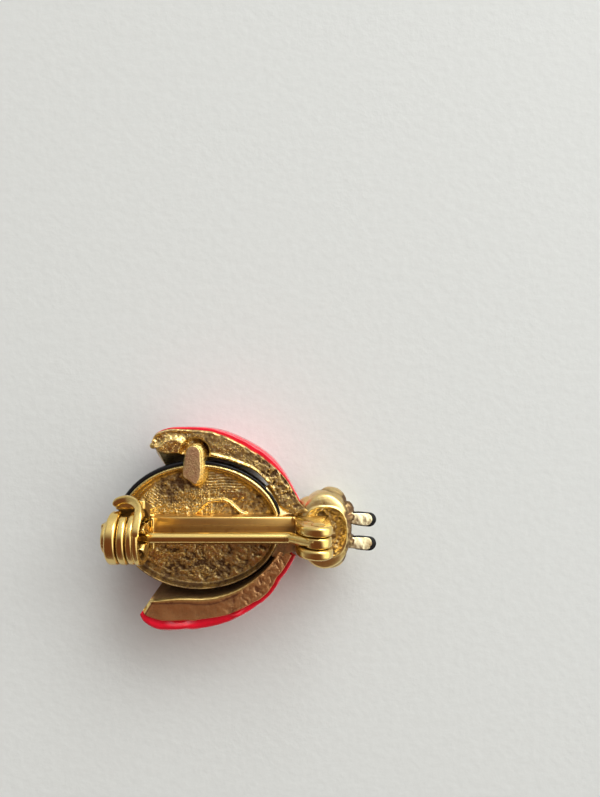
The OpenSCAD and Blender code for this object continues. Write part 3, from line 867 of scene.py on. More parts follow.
def plating_group():
    """Colour and roughness of plating from bright to dull."""
    group, start, end = shader_group(
        "Plating",
        {"Bright": (1, 1, 1, 1), "Dull": (0, 0, 0, 1), "Mask": 0.0, "Smooth": 0.2, "Matt": 0.6,
         "Worn": 0.0, "Rubbed": 0.0},
        {"Color": "NodeSocketColor", "Roughness": "NodeSocketFloat"},
    )
    place = object_place(group)
    broad = stretched(group, noise(group, place, BROAD, detail=3.0, roughness=0.5), 0.3, 0.7)
    fine = stretched(group, noise(group, place, FINE, detail=4.0, roughness=0.6), 0.5, 0.66)
    colour = blended(group, times(group, broad, 0.25), start["Bright"], WARM)
    colour = blended(group, times(group, fine, start["Worn"]), colour, WORN_PALE)
    colour = blended(group, start["Rubbed"], colour, RUBBED)
    join(group, end["Color"], blended(group, start["Mask"], colour, start["Dull"]))
    spread = maths(group, "SUBTRACT", start["Matt"], start["Smooth"])
    dulled = maths(group, "ADD", times(group, start["Mask"], spread), start["Smooth"])
    streaks = times(group, broad, 0.08)
    join(group, end["Roughness"], maths(group, "ADD", dulled, streaks, True))
    return group


def group_outputs(tree, group, **values):
    """Outputs of a shader group that is used in a material."""
    node = tree.nodes.new("ShaderNodeGroup")
    node.node_tree = group
    for key, value in values.items():
        join(tree, node.inputs[key], value)
    return node.outputs


def new_material(name, **values):
    """New material, its tree and its Principled shader with the inputs named here set."""
    material = bpy.data.materials.new(name)
    material.use_nodes = True
    tree = material.node_tree
    tree.nodes.clear()
    shader = tree.nodes.new("ShaderNodeBsdfPrincipled")
    out = tree.nodes.new("ShaderNodeOutputMaterial")
    tree.links.new(shader.outputs[0], out.inputs[0])
    for key, value in values.items():
        shader.inputs[key.replace("_", " ")].default_value = value
    return material, tree, shader


def bump(tree, shader, height, distance):
    relief = add_node(tree, "ShaderNodeBump", Height=height, Strength=1.0, Distance=distance)
    join(tree, shader.inputs["Normal"], relief)


def marked(tree, name):
    """What a piece's own mark says."""
    node = tree.nodes.new("ShaderNodeAttribute")
    node.attribute_name = name
    return node.outputs["Fac"]


def metal_material(name, bright, dull, smooth, matt, grain, amount, relief, worn):
    """Plated metal: dull where marked, which is tarnish in hollows and in places painted shade; pale where
    marked, which is rubbed wear and in places painted light; speckled between.
    """
    groups = bpy.data.node_groups
    tarnish = groups.get("Tarnish in hollows") or tarnish_group()
    plating = groups.get("Plating") or plating_group()
    material, tree, shader = new_material(name, Metallic=1.0)
    marks = group_outputs(tree, tarnish, Dirt=marked(tree, "dirt"), Grain=grain, Amount=amount)
    skin = group_outputs(
        tree, plating, Bright=opaque(bright), Dull=opaque(dull), Mask=marks["Mask"],
        Smooth=smooth, Matt=matt, Worn=worn, Rubbed=marked(tree, "rubbed"),
    )
    join(tree, shader.inputs["Base Color"], skin["Color"])
    join(tree, shader.inputs["Roughness"], skin["Roughness"])
    bump(tree, shader, marks["Height"], relief)
    return material


# Scales of the enamel's clouds and waves and of the paper's fibres, and the fibres' height in metres
CLOUDS, WAVES, FIBRES, FIBRE_RELIEF = 700.0, 1100.0, 900.0, 4e-5


def enamel_material(name, colour, deep, wave, gloss):
    """Glossy enamel with a slightly wavy surface."""
    material, tree, shader = new_material(
        name, Roughness=0.16, Specular_IOR_Level=0.5*gloss, Coat_Weight=gloss, Coat_Roughness=0.04
    )
    place = object_place(tree)
    cloud = stretched(tree, noise(tree, place, CLOUDS, detail=3.0, roughness=0.5), 0.35, 0.7)
    join(tree, shader.inputs["Base Color"], blended(tree, cloud, opaque(colour), opaque(deep)))
    bump(tree, shader, noise(tree, place, WAVES, detail=2.0, roughness=0.4), wave)
    return material


def paper_material(colour):
    """Matt paper with faint fibres."""
    material, tree, shader = new_material("paper", Roughness=0.9, Specular_IOR_Level=0.2)
    fibre = noise(tree, object_place(tree), FIBRES, detail=6.0, roughness=0.6)
    darker = [0.97*c for c in colour]
    shade = blended(tree, stretched(tree, fibre, 0.3, 0.7), opaque(darker), opaque(colour))
    join(tree, shader.inputs["Base Color"], shade)
    bump(tree, shader, fibre, FIBRE_RELIEF)
    return material


def named_material(name):
    """A finish by its name, made when it is first asked for."""
    found = bpy.data.materials.get(name)
    if found:
        return found
    colours = bpy.context.scene.brooch_finish
    make = metal_material if name in METALS else enamel_material
    _, first, second, *values = METALS.get(name) or ENAMELS[name]
    pair = [getattr(colours, tone) if isinstance(tone, str) else tone for tone in (first, second)]
    return make(name, *pair, *values)


# Body

# How square the dome's outline and section are: 2 is round
DOME_SQUARE = 2.3
AROUND, COAT_AROUND = 440, 192
FLOOR_ROWS = 84
# How far the body's enamel starts under the rim's height
COAT_DROP = 0.18
# Grains to a square millimetre, and their radius
FLOOR_GRAINS, WING_GRAINS = (26.0, 0.055), (22.0, 0.05)
# Recess depth that the rim's section is drawn for, then its shares of the rim's width and its drops
RIM_DEPTH = 0.9
RIM_SECTION = [(0.0, 0.16), (0.08, 0.07), (0.25, 0.01), (0.5, 0.0), (0.72, 0.04), (0.9, 0.14),
               (1.05, 0.32), (1.2, 0.55), (1.4, 0.75), (1.75, 0.86)]
# Raised lines on the sunken back
ARCH = [(-0.9, 0.9), (-0.2, 1.5), (0.35, 2.15), (0.8, 2.46), (2.4, 2.58), (2.92, 2.36), (4.1, 1.3),
        (4.6, 1.15)]
LOW_LINE = [(7.2, -2.3), (6.2, -3.7), (4.7, -5.0), (3.2, -5.5)]


def rim_radius(angle, s):
    """Radius of the rim's oval at an angle from the head, in degrees."""
    a, b, turn = s.half_length, s.half_width, np.radians(angle)
    return a*b/np.sqrt((b*np.cos(turn))**2 + (a*np.sin(turn))**2)


def floor_relief(x, y):
    """Height of the sunken back over its plain floor, and how dull it is."""
    lumps, grain = uneven(x, y, 1.5, 3), uneven(x, y, 0.36, 21)
    # Fine grains at the left, fine lines near the upper rim, and pits at the arch's upper right
    cells = np.clip(1 - pebbles(x, y, 0.25, 5), 0, 1)*ease(2.4 - x, 0, 2.5)*ease(y, -5.5, -3.5)
    lined = between(x, 0.2, 1.0, 5.6, 1.4)*ease(y, 3.3, 4.0)
    lines = np.sin(2*np.pi*(y + 0.05*np.sin(1.9*x))/0.29)*lined
    pits = between(x, 2.9, 3.6, 6.9, 0.8)*between(y, 2.3, 2.9, 4.3, 0.6)
    torn = ease(rough(x*0.7 + y, y - 0.6*x, 0.62, 33), 0.5, 0.66)
    # The torn lower part, the scraped upper left and the smooth bright corner beyond it
    low = ease(-1.4 - y, 0, 1.2)
    scraped = np.sin(2*np.pi*(x*0.8 + y)/0.34)*ease(-3.4 - x, 0, 1.3)*ease(y, 1.4, 2.4)
    corner = ease(-4.2 - x, 0, 1.2)*ease(y, 0.6, 1.6)
    arch = 1 - ease(to_line(ARCH, x, y), 0.07, 0.24) + 0.6*peak(to_line(LOW_LINE, x, y), 0, 0.1)
    height = 0.16*lumps + 0.15*grain*(1 - 0.6*lined) + 0.10*cells
    height += 0.032*lines - 0.22*torn*(pits + 0.45*low) + 0.03*scraped
    height = height*(1 - 0.8*np.clip(arch, 0, 1)) + 0.27*arch
    dirt = 0.34 + 1.5*(0.02 - grain) - 1.2*lumps + 0.9*torn*(pits + 0.6*low) - 0.35*cells
    dirt += 0.45*ease(y, 1.4, 2.6)*between(x, -5.5, -4.4, 0.6, 1.5) - 0.22*lines - 0.9*arch
    return height*(1 - 0.5*corner) + 0.2*corner, dirt*(1 - 0.9*corner)


def lower_half(turn):
    """1 where a turn from the head is towards the lower wing, 0 in the upper half."""
    return ease(-np.sin(turn), 0.1, 0.6)


def body_shape(s):
    """Rim round the sunken back, over the body's dome, and how dull each point is."""
    a, b, back, floor = s.half_length, s.half_width, s.back, s.floor
    depth = floor - s.body_lift - s.body_coat - SEAT
    rings = dome_rings(a, b, floor, depth, 18, DOME_SQUARE, AROUND)[::-1]
    rings += [oval_ring(a, b, floor + rise, AROUND) for rise in (0.3, 0.6)]
    turn = full_turn(AROUND)
    wide = s.body_rim*(0.82 + 0.5*peak(turn, 0.75, 0.45) - 0.34*lower_half(turn))
    wave = 0.035*(ripple(turn*9, turn*0, 61) - 0.5)
    for share, drop in RIM_SECTION:
        height = back - drop*s.body_recess/RIM_DEPTH + wave*(share > 0.05)
        rings.append(oval_ring(a - wide*share, b - wide*share, height, AROUND))
    edge = rings[-1][:, :2]
    rings += [level(edge*(1 - k/FLOOR_ROWS), floor) for k in range(1, FLOOR_ROWS)]
    points, faces = closed_loft(rings)
    x, y, z = points.T
    top = z > floor - 0.001
    lower = lower_half(np.arctan2(y, x))
    inset = s.body_rim*mix(1.35, 0.85, lower)
    reach = 1 - np.hypot(x/(a - inset), y/(b - inset))
    inside = (reach > 0) & top
    height, dirt = floor_relief(x, y)
    fade = ease(reach, 0, 0.08)
    points[:, 2] += np.where(inside, height*fade, 0)
    wall = 0.25*ease(back - 0.12 - z, 0, 0.5) + lower*(0.15 + 0.9*rough(x, y, 0.6, 64))
    return (points, faces), np.where(inside, dirt*mix(0.8, 1, fade), wall*(top & ~inside))


class BROOCH_OT_body(Maker, bpy.types.Operator):
    """Body with its rim and its rough sunken back"""

    bl_idname = "brooch.body"
    bl_label = "Body"

    def build(self, s):
        shape, dirt = body_shape(s)
        made = whole_object("body_plate", shape)
        x, y, z = shape[0].T
        # Paler along the top of the rim in its upper (+Y) half.
        mark(made, dirt=dirt, rubbed=ease(z, s.back - 0.35, s.back - 0.1)*ease(np.arctan2(y, x), -0.2, 0.3))
        inside = np.hypot(x/(s.half_length - 1), y/(s.half_width - 1)) < 1
        wanted = inside & (z > s.floor - 0.3) & (dirt < 0.6)
        scatter(made, "floor_grains", wanted*ease(4.5 - x, 0, 4), *FLOOR_GRAINS)
        finish(made, "rough_gold", "casting")


def thickened(ring, extra):
    """Ring carried outwards from the body's middle."""
    away = np.maximum(np.hypot(ring[:, 0], ring[:, 1]), 1)
    return np.column_stack([ring[:, :2]*(1 + extra/away)[:, None], ring[:, 2]])


class BROOCH_OT_body_coat(Maker, bpy.types.Operator):
    """Black enamel round the front of the body"""

    bl_idname = "brooch.body_coat"
    bl_label = "Body enamel"

    def build(self, s):
        around, waist, coat = COAT_AROUND, s.floor, s.body_coat
        a, b = s.half_length + SEAT, s.half_width + SEAT
        depth = waist - s.body_lift
        rings = dome_rings(a, b, waist, depth - coat, 16, DOME_SQUARE, around)[::-1]
        rings += [oval_ring(a, b, waist + rise, around) for rise in (0.15, 0.3)]
        turn = full_turn(around)
        # Thin on the lower wing's side, full on the upper one's and fullest there towards the catch
        full = mix(0.25, 1.0, ease(np.sin(turn + 0.4), -0.55, 0.3)) + 0.5*ease(np.cos(turn - 2.35), 0.3, 0.9)
        # The edge under the rim, rounded from the metal outwards
        for share, drop in ((0.0, 0.0), (0.3, 0.0), (0.6, 0.02), (0.85, 0.09), (0.97, 0.2), (1.0, 0.36)):
            height = s.back - COAT_DROP - drop - 0.3*np.maximum(1 - full, 0)
            rings.append(thickened(oval_ring(a, b, height, around), coat*share*full))
        for k, ring in enumerate(dome_rings(a + coat, b + coat, waist, depth, 24, DOME_SQUARE, around)):
            rings.append(thickened(ring, coat*np.maximum(full - 1, 0)*max(1 - k/6, 0)))
        finish(bare_object("body_coat", closed_loft(rings)), "black_glaze", "body_enamel")


# Wings

# Angle down the dome by which its metal has sunk the whole way under the enamel
SKIN_ANGLE = 15
# Angle down the dome at which each wing's enamel stands out the most
FLARE_ANGLE, LOW_FLARE_ANGLE = 14, 6
# How the line between gold and enamel wanders on each wing
EDGE_WAVE, LOW_EDGE_WAVE = 0.1, 0.32
METAL_STATIONS, COAT_STATIONS, BACK_POINTS = 260, 160, 40
# Degrees that the upper wing's foot is carried on at its tail, and radians that the lower wing's
# scratches are turned
TAIL_SWEEP, SCRATCH_TURN = 6.5, 0.5
# Middle of the strut's round end: its place along the brooch, the angle at which the rim's radius
# is taken and how far it is past the gap there; then the radius of the notch round it
STRUT_X, STRUT_ANGLE, STRUT_PAST, NOTCH_RADIUS = -0.45, 92, 0.35, 1.62
# Small drop of metal at the upper wing's tail
KNOB, KNOB_RADII = (-4.72, 8.12, 5.2), (0.36, 0.34, 0.42)


def wing_rows(table, s, count):
    """Stations along a wing, each with its angle and its edges in millimetres."""
    rows = smooth_rows(table, np.linspace(0, 1, count))
    inner = rim_radius(rows[:, ANGLE], s) + rows[:, GAP]*s.wings_gap
    outer = inner + rows[:, WIDTH]*s.wings_width
    return [
        SimpleNamespace(
            angle=row[ANGLE], inner=i, outer=o, foot=i - row[LEAN]*s.wings_lean,
            bulge=row[BULGE]*s.wings_bulge, depth=min(row[DEPTH], 1)*s.back,
        )
        for row, i, o in zip(rows, inner, outer)
    ]


def dome_point(row, a, skin, s):
    """Point of a wing's metal dome, sunk by skin: 0 is the back's outer edge, 90 the crest."""
    turn = np.radians(a)
    u = row.foot + (row.outer - row.foot)*np.cos(turn)**0.9
    z = s.back - row.depth*np.sin(turn)**0.9
    sink = skin*np.minimum(1, a/SKIN_ANGLE)
    return np.stack([u - sink*np.cos(turn*0.8), z + sink*np.sin(turn)], -1)


def flare(row, a, widest):
    """How far the enamel stands out past the metal's outline, the most at its widest angle."""
    low = np.sqrt(np.sin(np.radians(90*np.minimum(a, widest)/widest)))
    return row.bulge*np.where(a < widest, low, np.cos(np.radians(a - widest)))


def coat_edge(row, side, inside, outside):
    """Enamel's rounded edge beside the gold, fullest near the lower wing's tail."""
    share = np.linspace(0, 1, 8)[1:-1]
    edge = mix(inside, outside, share[:, None])
    if side > 0:
        full, lean = 0.03, 1.0
    else:
        ripples = ripple(np.array([row.angle/3.0]), np.array([0.5]), 88)[0]
        full = 0.06 + 0.10*ripples + 0.34*peak(row.angle, 101, 7) + 0.25*peak(row.angle, 67, 3)
        lean = 1.6
    edge[:, 1] += full*np.sin(np.pi*share**lean)
    return edge


def edge_wave(row, side, a):
    """How far the line between gold and enamel wanders at the back's edge."""
    wave = EDGE_WAVE if side > 0 else LOW_EDGE_WAVE
    ripples = ripple(np.array([row.angle/5.5]), np.array([0.5]), 71 + side)[0] - 0.75
    return wave*ripples*np.clip(1 - a/FLARE_ANGLE, 0, 1)


def wing_loft(sections, rows, side):
    """Shape through sections of reach and height, each turned to its station, and its angles."""
    rings = []
    for section, row in zip(sections, rows):
        turn = math.radians(row.angle)
        u, z = section.T
        rings.append(np.column_stack([u*math.cos(turn), side*u*math.sin(turn), z]))
    angle = np.repeat([row.angle for row in rows], len(sections[0]))
    return *closed_loft(rings), np.append(angle, [rows[0].angle, rows[-1].angle])


def wing_metal_shape(table, side, s):
    """A wing's metal, its back flat for now, with each point's share across the back."""
    rows = wing_rows(np.vstack([UPPER_END, table]) if side > 0 else table, s, METAL_STATIONS)
    steps = np.linspace(3, 90, 16)
    across = np.linspace(0, 1, BACK_POINTS)
    sections = []
    for row in rows:
        back = level(mix(row.inner, row.outer + edge_wave(row, side, 0), across)[:, None], s.back)
        dome = dome_point(row, steps, s.wings_coat + SEAT, s)
        dome[:, 0] += edge_wave(row, side, steps)
        wall = mix(dome[-1] + (-0.12, 0.3), back[0], np.linspace(0, 1, 14)[:-1, None])
        sections.append(np.vstack([back, dome, wall]))
    # A share of 2 is the dome, and of -1 the wall beside the body
    share = np.concatenate([across, np.full(len(dome), 2.0), np.full(len(wall), -1.0)])
    points, faces, angle = wing_loft(sections, rows, side)
    return points, faces, np.append(np.tile(share, len(rows)), [2.0, 2.0]), angle


def upper_relief(x, y, share, angle, edge, s):
    """Height and dullness of the upper wing's back: lumpy, torn at the front, ridged at the tail, with
    painted shade in the strut's notch.
    """
    lumps, grain = uneven(x, y, 1.1, 92), uneven(x, y, 0.34, 58)
    tail = ease(angle, 88, 100)
    torn = ease(rough(x + y, x - y, 0.7, 12), 0.46, 0.62)*between(angle, 14, 24, 58, 18)
    lip = peak(share, 0.10, 0.07)*between(angle, 16, 30, 87, 8)
    ridge = tail*peak(share, 0.42 + 0.12*np.sin(angle/4), 0.16)
    border = tail*peak(share, 0.93, 0.05)
    end = rim_radius(STRUT_ANGLE, s) + s.wings_gap + STRUT_PAST
    notch = ease(NOTCH_RADIUS - np.hypot(x - STRUT_X, y - end), 0, 0.34)
    height = 0.26*lumps*mix(0.45, 1.7, tail) + 0.12*grain*mix(1, 1.3, tail) - 0.22*torn*edge + 0.16*lip
    height += 0.26*ridge + 0.14*border - 0.16*tail - 1.25*s.wings_notch*notch
    dirt = 0.34 - 1.2*lumps - 1.3*grain + 0.6*torn - 0.6*lip - 0.2*tail - 0.5*ridge - 0.5*border
    # Darker towards the front, and in the notch to the right of the strut's end: painted shade in that
    # recess.
    dirt += 0.28*ease(54 - angle, 0, 16) + 0.55*notch*ease(x, -1.2, 0.4)
    return height, dirt


def lower_relief(x, y, share, angle, edge):
    """Height and dirt of the lower wing's back: smooth and scratched, with a fold at the tail."""
    lumps, grain = uneven(x, y, 1.1, 90), uneven(x, y, 0.34, 56)
    thick = 0.07 + 0.05*peak(angle, 82, 14)
    lip = peak(share, 0.07, thick)
    beside = peak(share, 0.09 + 2.1*thick, 0.045)*ease(angle, 50, 65)
    near = ease(92 - angle, 0, 26)
    cos, sin = math.cos(SCRATCH_TURN), math.sin(SCRATCH_TURN)
    along, over = x*cos + y*sin, y*cos - x*sin
    scratch = ease(rough(along/0.3, over/1.3, 1.0, 45), 0.64, 0.74)
    scratch *= edge*ease(rough(x, y, 1.3, 48), 0.42, 0.6)
    cut = ease(rough(x*2.2 + y, y - x*0.4, 0.8, 45), 0.56, 0.68)*edge*near
    height = 0.07*lumps + 0.10*grain*near - 0.05*cut + 0.20*lip - 0.012*scratch
    height -= 0.05*np.sin(np.pi*np.clip(share, 0, 1)) + 0.50*ease(angle, 121.8, 124.2)
    dirt = 0.14 - 0.5*lumps - 1.7*grain*near + 0.6*cut - 1.2*lip + 0.9*beside + 0.35*scratch
    dirt += 0.8*peak(angle, 121.6, 0.45) - 0.4*ease(angle, 122.0, 122.6)
    return height, dirt


def shaped_back(points, share, angle, side, s):
    """Gives a wing's back its cast relief, and says how dull each point is."""
    x, y, z = points.T.copy()
    on_back, wall = (share >= 0) & (share <= 1), share < 0
    edge = ease(share, 0, 0.1)*ease(1 - share, 0, 0.1)
    where = x, y, share, angle, edge
    height, dirt = upper_relief(*where, s) if side > 0 else lower_relief(*where)
    rounded = 0.12*(1 - ease(share, 0, 0.035)) + 0.16*(1 - ease(1 - share, 0, 0.05))
    z += np.where(on_back, height*mix(0.5, 1, edge) - rounded, 0)
    pushed = 0.08*wall*uneven(x*1.2 + z, y + 0.5*z, 0.8, 77)
    shaped = np.column_stack([x + pushed, y + pushed, z])
    return shaped, np.where(on_back, dirt, np.where(wall, 0.42, 0.2))


def swept_tail(points, angle, s):
    """Carries the upper wing's end on round the body towards its foot."""
    x, y, z = points.T
    turn = np.radians(TAIL_SWEEP*ease(angle, 111, 119)*ease(s.back - 0.3 - z, 0, 3.4))
    return np.column_stack([x*np.cos(turn) - y*np.sin(turn), x*np.sin(turn) + y*np.cos(turn), z])


def coat_shape(table, side, s):
    """Enamel over a wing's front, starting from the gold edge of its back."""
    rows = wing_rows(table, s, COAT_STATIONS)
    steps = 90*np.linspace(0.12, 1, 26)**1.5
    widest = FLARE_ANGLE if side > 0 else LOW_FLARE_ANGLE
    sections = []
    for row in rows:
        outside, inside = dome_point(row, steps, 0, s), dome_point(row, steps, s.wings_coat, s)[::-1]
        outside[:, 0] += flare(row, steps, widest) + edge_wave(row, side, steps)
        inside[:, 0] += edge_wave(row, side, steps[::-1])
        sections.append(np.vstack([outside, inside, coat_edge(row, side, inside[-1], outside[0])]))
    points, faces, angle = wing_loft(sections, rows, side)
    return swept_tail(points, angle, s) if side > 0 else points, faces


class BROOCH_OT_wings(Maker, bpy.types.Operator):
    """Cast backs of both wings"""

    bl_idname = "brooch.wings"
    bl_label = "Wings"

    def build(self, s):
        for name, (table, side) in WINGS.items():
            points, faces, share, angle = wing_metal_shape(table, side, s)
            points, dirt = shaped_back(points, share, angle, side, s)
            if side > 0:
                knob = ball(KNOB, KNOB_RADII, 24)
                points, faces = joined([(swept_tail(points, angle, s), faces), knob])
                dirt = np.append(dirt, np.full(len(knob[0]), 0.25))
                share = np.append(share, np.full(len(knob[0]), -1.0))
                # The inner wall and the knob are made pale gold: painted light that lifts them out of the
                # shade they stand in.
                look, rubbed = "rough_gold", share < 0
            else:
                lip = peak(share, 0.07, 0.10)*ease(angle, 30, 60) + ease(angle, 121.9, 122.4)
                look, rubbed = "smooth_cast_gold", lip*(share > -0.5)
            made = whole_object("wing_back_" + name, (points, faces))
            mark(made, dirt=dirt, rubbed=rubbed)
            if side > 0:
                wanted = ((share > 0.08) & (share < 0.92))*ease(0.75 - dirt, 0, 0.5)
                scatter(made, "wing_grains", wanted, *WING_GRAINS)
            finish(made, look, "casting")


class BROOCH_OT_wing_coats(Maker, bpy.types.Operator):
    """Red enamel over the fronts of both wings"""

    bl_idname = "brooch.wing_coats"
    bl_label = "Wing enamel"

    def build(self, s):
        for name, (table, side) in WINGS.items():
            made = bare_object("wing_coat_" + name, coat_shape(table, side, s))
            finish(made, "red_glaze", "wing_enamel_" + name)


# Strut from the body to the upper wing

STRUT_TOP = [(-0.31, 4.38), (0.09, 4.87), (0.24, 5.76), (0.19, 6.76), (0.14, 7.55), (-0.11, 7.99),
             (-0.55, 8.14), (-1.00, 7.94), (-1.20, 7.45), (-1.35, 6.56), (-1.50, 5.57), (-1.40, 5.07),
             (-0.90, 4.77)]
STRUT_EDGE = 0.04


class BROOCH_OT_strut(Maker, bpy.types.Operator):
    """Flat strut that carries the upper wing"""

    bl_idname = "brooch.strut"
    bl_label = "Strut"

    def build(self, s):
        outline = smooth_outline(STRUT_TOP, 10)
        top, low = s.back + s.wings_strut, s.floor - 0.1
        centre = outline.mean(0)
        right = ease(outline[:, 0] - centre[0], -0.3, 0.7)
        rings = []
        for share in (0.0, 0.35, 0.6, 0.75, 0.85, 0.92, 0.97, 1.0):
            spread = mix(0.16, 0.62, right)*(1 - share)**0.8 + 0.10*ease(share, 0.9, 0.75)
            ring = outline + (grown(outline, 1) - outline)*spread[:, None]
            rings.append(level(ring, mix(low, top, share)))
        rings.append(level(grown(outline, -STRUT_EDGE), top + 0.012*ease(STRUT_EDGE, 0, 0.2)))
        for inset in (0.12, 0.3, 0.6, 0.85):
            rings.append(level(mix(outline, centre, inset), top + 0.012*ease(inset, 0, 0.2)))
        made = bare_object("wing_strut", closed_loft(rings))
        x, y, z = vertex_points(made).T
        flat = ease(z, top - 0.05, top)*ease(-away_from(outline, x, y), -0.02, 0.06)
        pits = ease(rough(x, y, 0.16, 9), 0.5, 0.75)
        # The flat top is dull with tarnish and pits; the flanks all round are pale gold as a painted
        # highlight, the light catching them.
        mark(made, dirt=flat*(0.2 + 1.1*rough(x, y, 0.3, 8) + 0.5*pits), rubbed=1 - flat)
        finish(made, "two_tone_gold", "casting")


# Head and neck

HEAD_SQUARE = 2.6
# Share of the head's length and width that the hollow's rim keeps
HEAD_RIM_LENGTH, HEAD_RIM_WIDTH = 0.79, 0.64
# Room at each side of the head beside its CAD size
HEAD_LONGER, HEAD_WIDER = 0.18, 0.46
HEAD_Y = -0.5
HEAD_BEVEL = 1.3
HEAD_AROUND = 120
# Size of the cells that the head and the neck are skinned with, and rounds of smoothing
HEAD_VOXEL, NECK_VOXEL, RELAX = 0.075, 0.08, 4
# Shares from the rim to the head's outline with their drops, then insets from the rim with theirs
HEAD_SLOPE = [(0.99, 1.0), (0.95, 0.68), (0.88, 0.4), (0.75, 0.22), (0.5, 0.11), (0.28, 0.05),
              (0.1, 0.02), (0.0, 0.0)]
HEAD_HOLLOW = [(0.15, 0.0), (0.4, 0.04), (0.8, 0.15), (1.3, 0.3), (2.0, 0.44), (2.8, 0.53), (3.6, 0.56)]
# Raised line round the left of the head's hollow
HOLLOW_LINE = [(12.35, 1.9), (11.95, 1.6), (11.75, 1.1), (11.75, 0.4), (12.0, -0.1)]


def head_halves(s):
    return s.head_length/2 + HEAD_LONGER, s.head_width/2 + HEAD_WIDER


def head_loft(s):
    """The head's dome with the hollow in its back."""
    (a, b), back = head_halves(s), s.back
    bevel, around = back - HEAD_BEVEL, HEAD_AROUND
    rings = dome_rings(a, b, bevel, bevel - 0.05, 20, HEAD_SQUARE, around)[::-1]
    for share, drop in HEAD_SLOPE:
        long, wide = a*mix(HEAD_RIM_LENGTH, 1, share), b*mix(HEAD_RIM_WIDTH, 1, share)
        rings.append(oval_ring(long, wide, back - HEAD_BEVEL*drop, around))
    for inset, drop in HEAD_HOLLOW:
        long, wide = a*HEAD_RIM_LENGTH - s.head_rim*inset, b*HEAD_RIM_WIDTH - s.head_rim*inset
        rings.append(oval_ring(long, wide, back - drop*s.head_recess, around))
    edge = rings[-1]
    rings += [edge*(share, share, 1) for share in (0.75, 0.5, 0.25)]
    return closed_loft([ring + (s.head_middle, HEAD_Y, 0) for ring in rings])


def head_mounds(s):
    """Low mounds: two at the antennae's roots, one above them, one over the shoulder."""
    back, middle = s.back, s.head_middle
    roots = [ball((middle + 2.35, y, back - 1.2), (0.98, 0.72, 0.95)) for y in antenna_sides()]
    return roots + [
        ball((middle + 2.25, HEAD_Y + 2.1, back - 1.35), (0.8, 0.8, 0.7)),
        ball((middle - 1.5, HEAD_Y + 1.75, back - 1.55), (1.5, 1.6, 1.42)),
    ]


class BROOCH_OT_head(Maker, bpy.types.Operator):
    """Head with its eyes and the hollow in its back"""

    bl_idname = "brooch.head"
    bl_label = "Head"

    def build(self, s):
        back, middle = s.back, s.head_middle
        eyes = [np.array([middle + 0.65, HEAD_Y + side*s.head_eye_gap/2, back*0.6]) for side in (-1, 1)]
        balls = [ball(eye, (s.head_eye,)*3) for eye in eyes]
        made = remeshed([head_loft(s), *balls, *head_mounds(s)], HEAD_VOXEL, "head_shell")
        points, normals = vertex_points(made), vertex_normals(made)
        x, y, z = points.T
        a, b = head_halves(s)
        reach, inner = (
            np.abs((x - middle)/long)**HEAD_SQUARE + np.abs((y - HEAD_Y)/wide)**HEAD_SQUARE
            for long, wide in ((a, b), (a*HEAD_RIM_LENGTH, b*HEAD_RIM_WIDTH))
        )
        hollow = ease(0.93 - inner, 0, 0.12)*ease(z, 4.6, 4.9)
        bevel = back - HEAD_BEVEL
        skin = reach + np.clip((bevel - z)/bevel, 0, 1)**HEAD_SQUARE
        away = [np.linalg.norm(points - eye, axis=1) for eye in eyes]
        groove = sum(peak(gap, s.head_eye, 0.08)*peak(skin, 1, 0.1) for gap in away)
        lumps, grain = uneven(x + z, y - 0.4*z, 1.1, 31), uneven(x, y, 0.4, 35)
        ring = 1 - ease(to_line(HOLLOW_LINE, x, y), 0.05, 0.2)
        snout = ease(x - middle, 1.75, 2.2)*ease(z, 3.4, 4.0)*ease(inner, 0.95, 1.15)
        rim = peak(inner, 0.98, 0.11)*ease(z, back - 0.5, back - 0.1)
        rim *= ease(x + 0.4*y, middle - 2.2, middle - 1.2)
        move = 0.06*lumps - 0.07*groove + hollow*(0.26*grain + 0.16*lumps + 0.14*ring)
        move += 0.22*snout*grain + 0.1*rim
        move_vertices(made, points + normals*move[:, None])
        pale = 0.2*ease(x - middle, 0.6, 1.4)
        dirt = 0.6*groove + hollow*(0.30 - pale - 1.8*grain - 0.5*ring) + snout*(0.9 - 1.5*grain)
        # Rubbed bright on the hollow's raised rim; the head's lower (-Y) side is made paler as painted
        # light, standing in for the bright reflection there.
        mark(made, dirt=dirt, rubbed=0.9*rim + 0.8*ease(HEAD_Y - 1.3 - y, 0, 0.8))
        finish(made, "head_gold", "casting")


def neck_shapes(s):
    """Plate, the collar under the head and a row of balls along the upper wing's metal end."""
    back, middle = s.back, s.head_middle
    start = s.half_length - 2*s.body_rim
    half = rim_radius(20, s)*math.sin(math.radians(20)) + s.wings_gap
    plate = rounded_outline([
        (start, half - 0.5), (middle - 4.1, half - 0.3), (middle - 1.6, 0.8),
        (middle - 1.6, -1.6), (middle - 4.1, 0.5 - half), (start, 0.4 - half),
    ], 0.3)
    collar = dome_rings(1.9, 2.2, back - 1.2, back*0.62, 14, HEAD_SQUARE, 64)[::-1]
    collar.append(oval_ring(1.71, 1.98, back - 0.08, 64))
    shapes = [slab(plate, back - 1.6, back - 0.06, 0.15, 5)]
    shapes.append(closed_loft([ring + (middle - 3, HEAD_Y, 0) for ring in collar]))
    for angle in np.linspace(14, 28, 8):
        reach, turn = rim_radius(angle, s) + 0.25, math.radians(angle)
        place = (reach*math.cos(turn), reach*math.sin(turn), back - 0.5)
        shapes.append(ball(place, (0.5, 0.5, 0.42), 20))
    return shapes


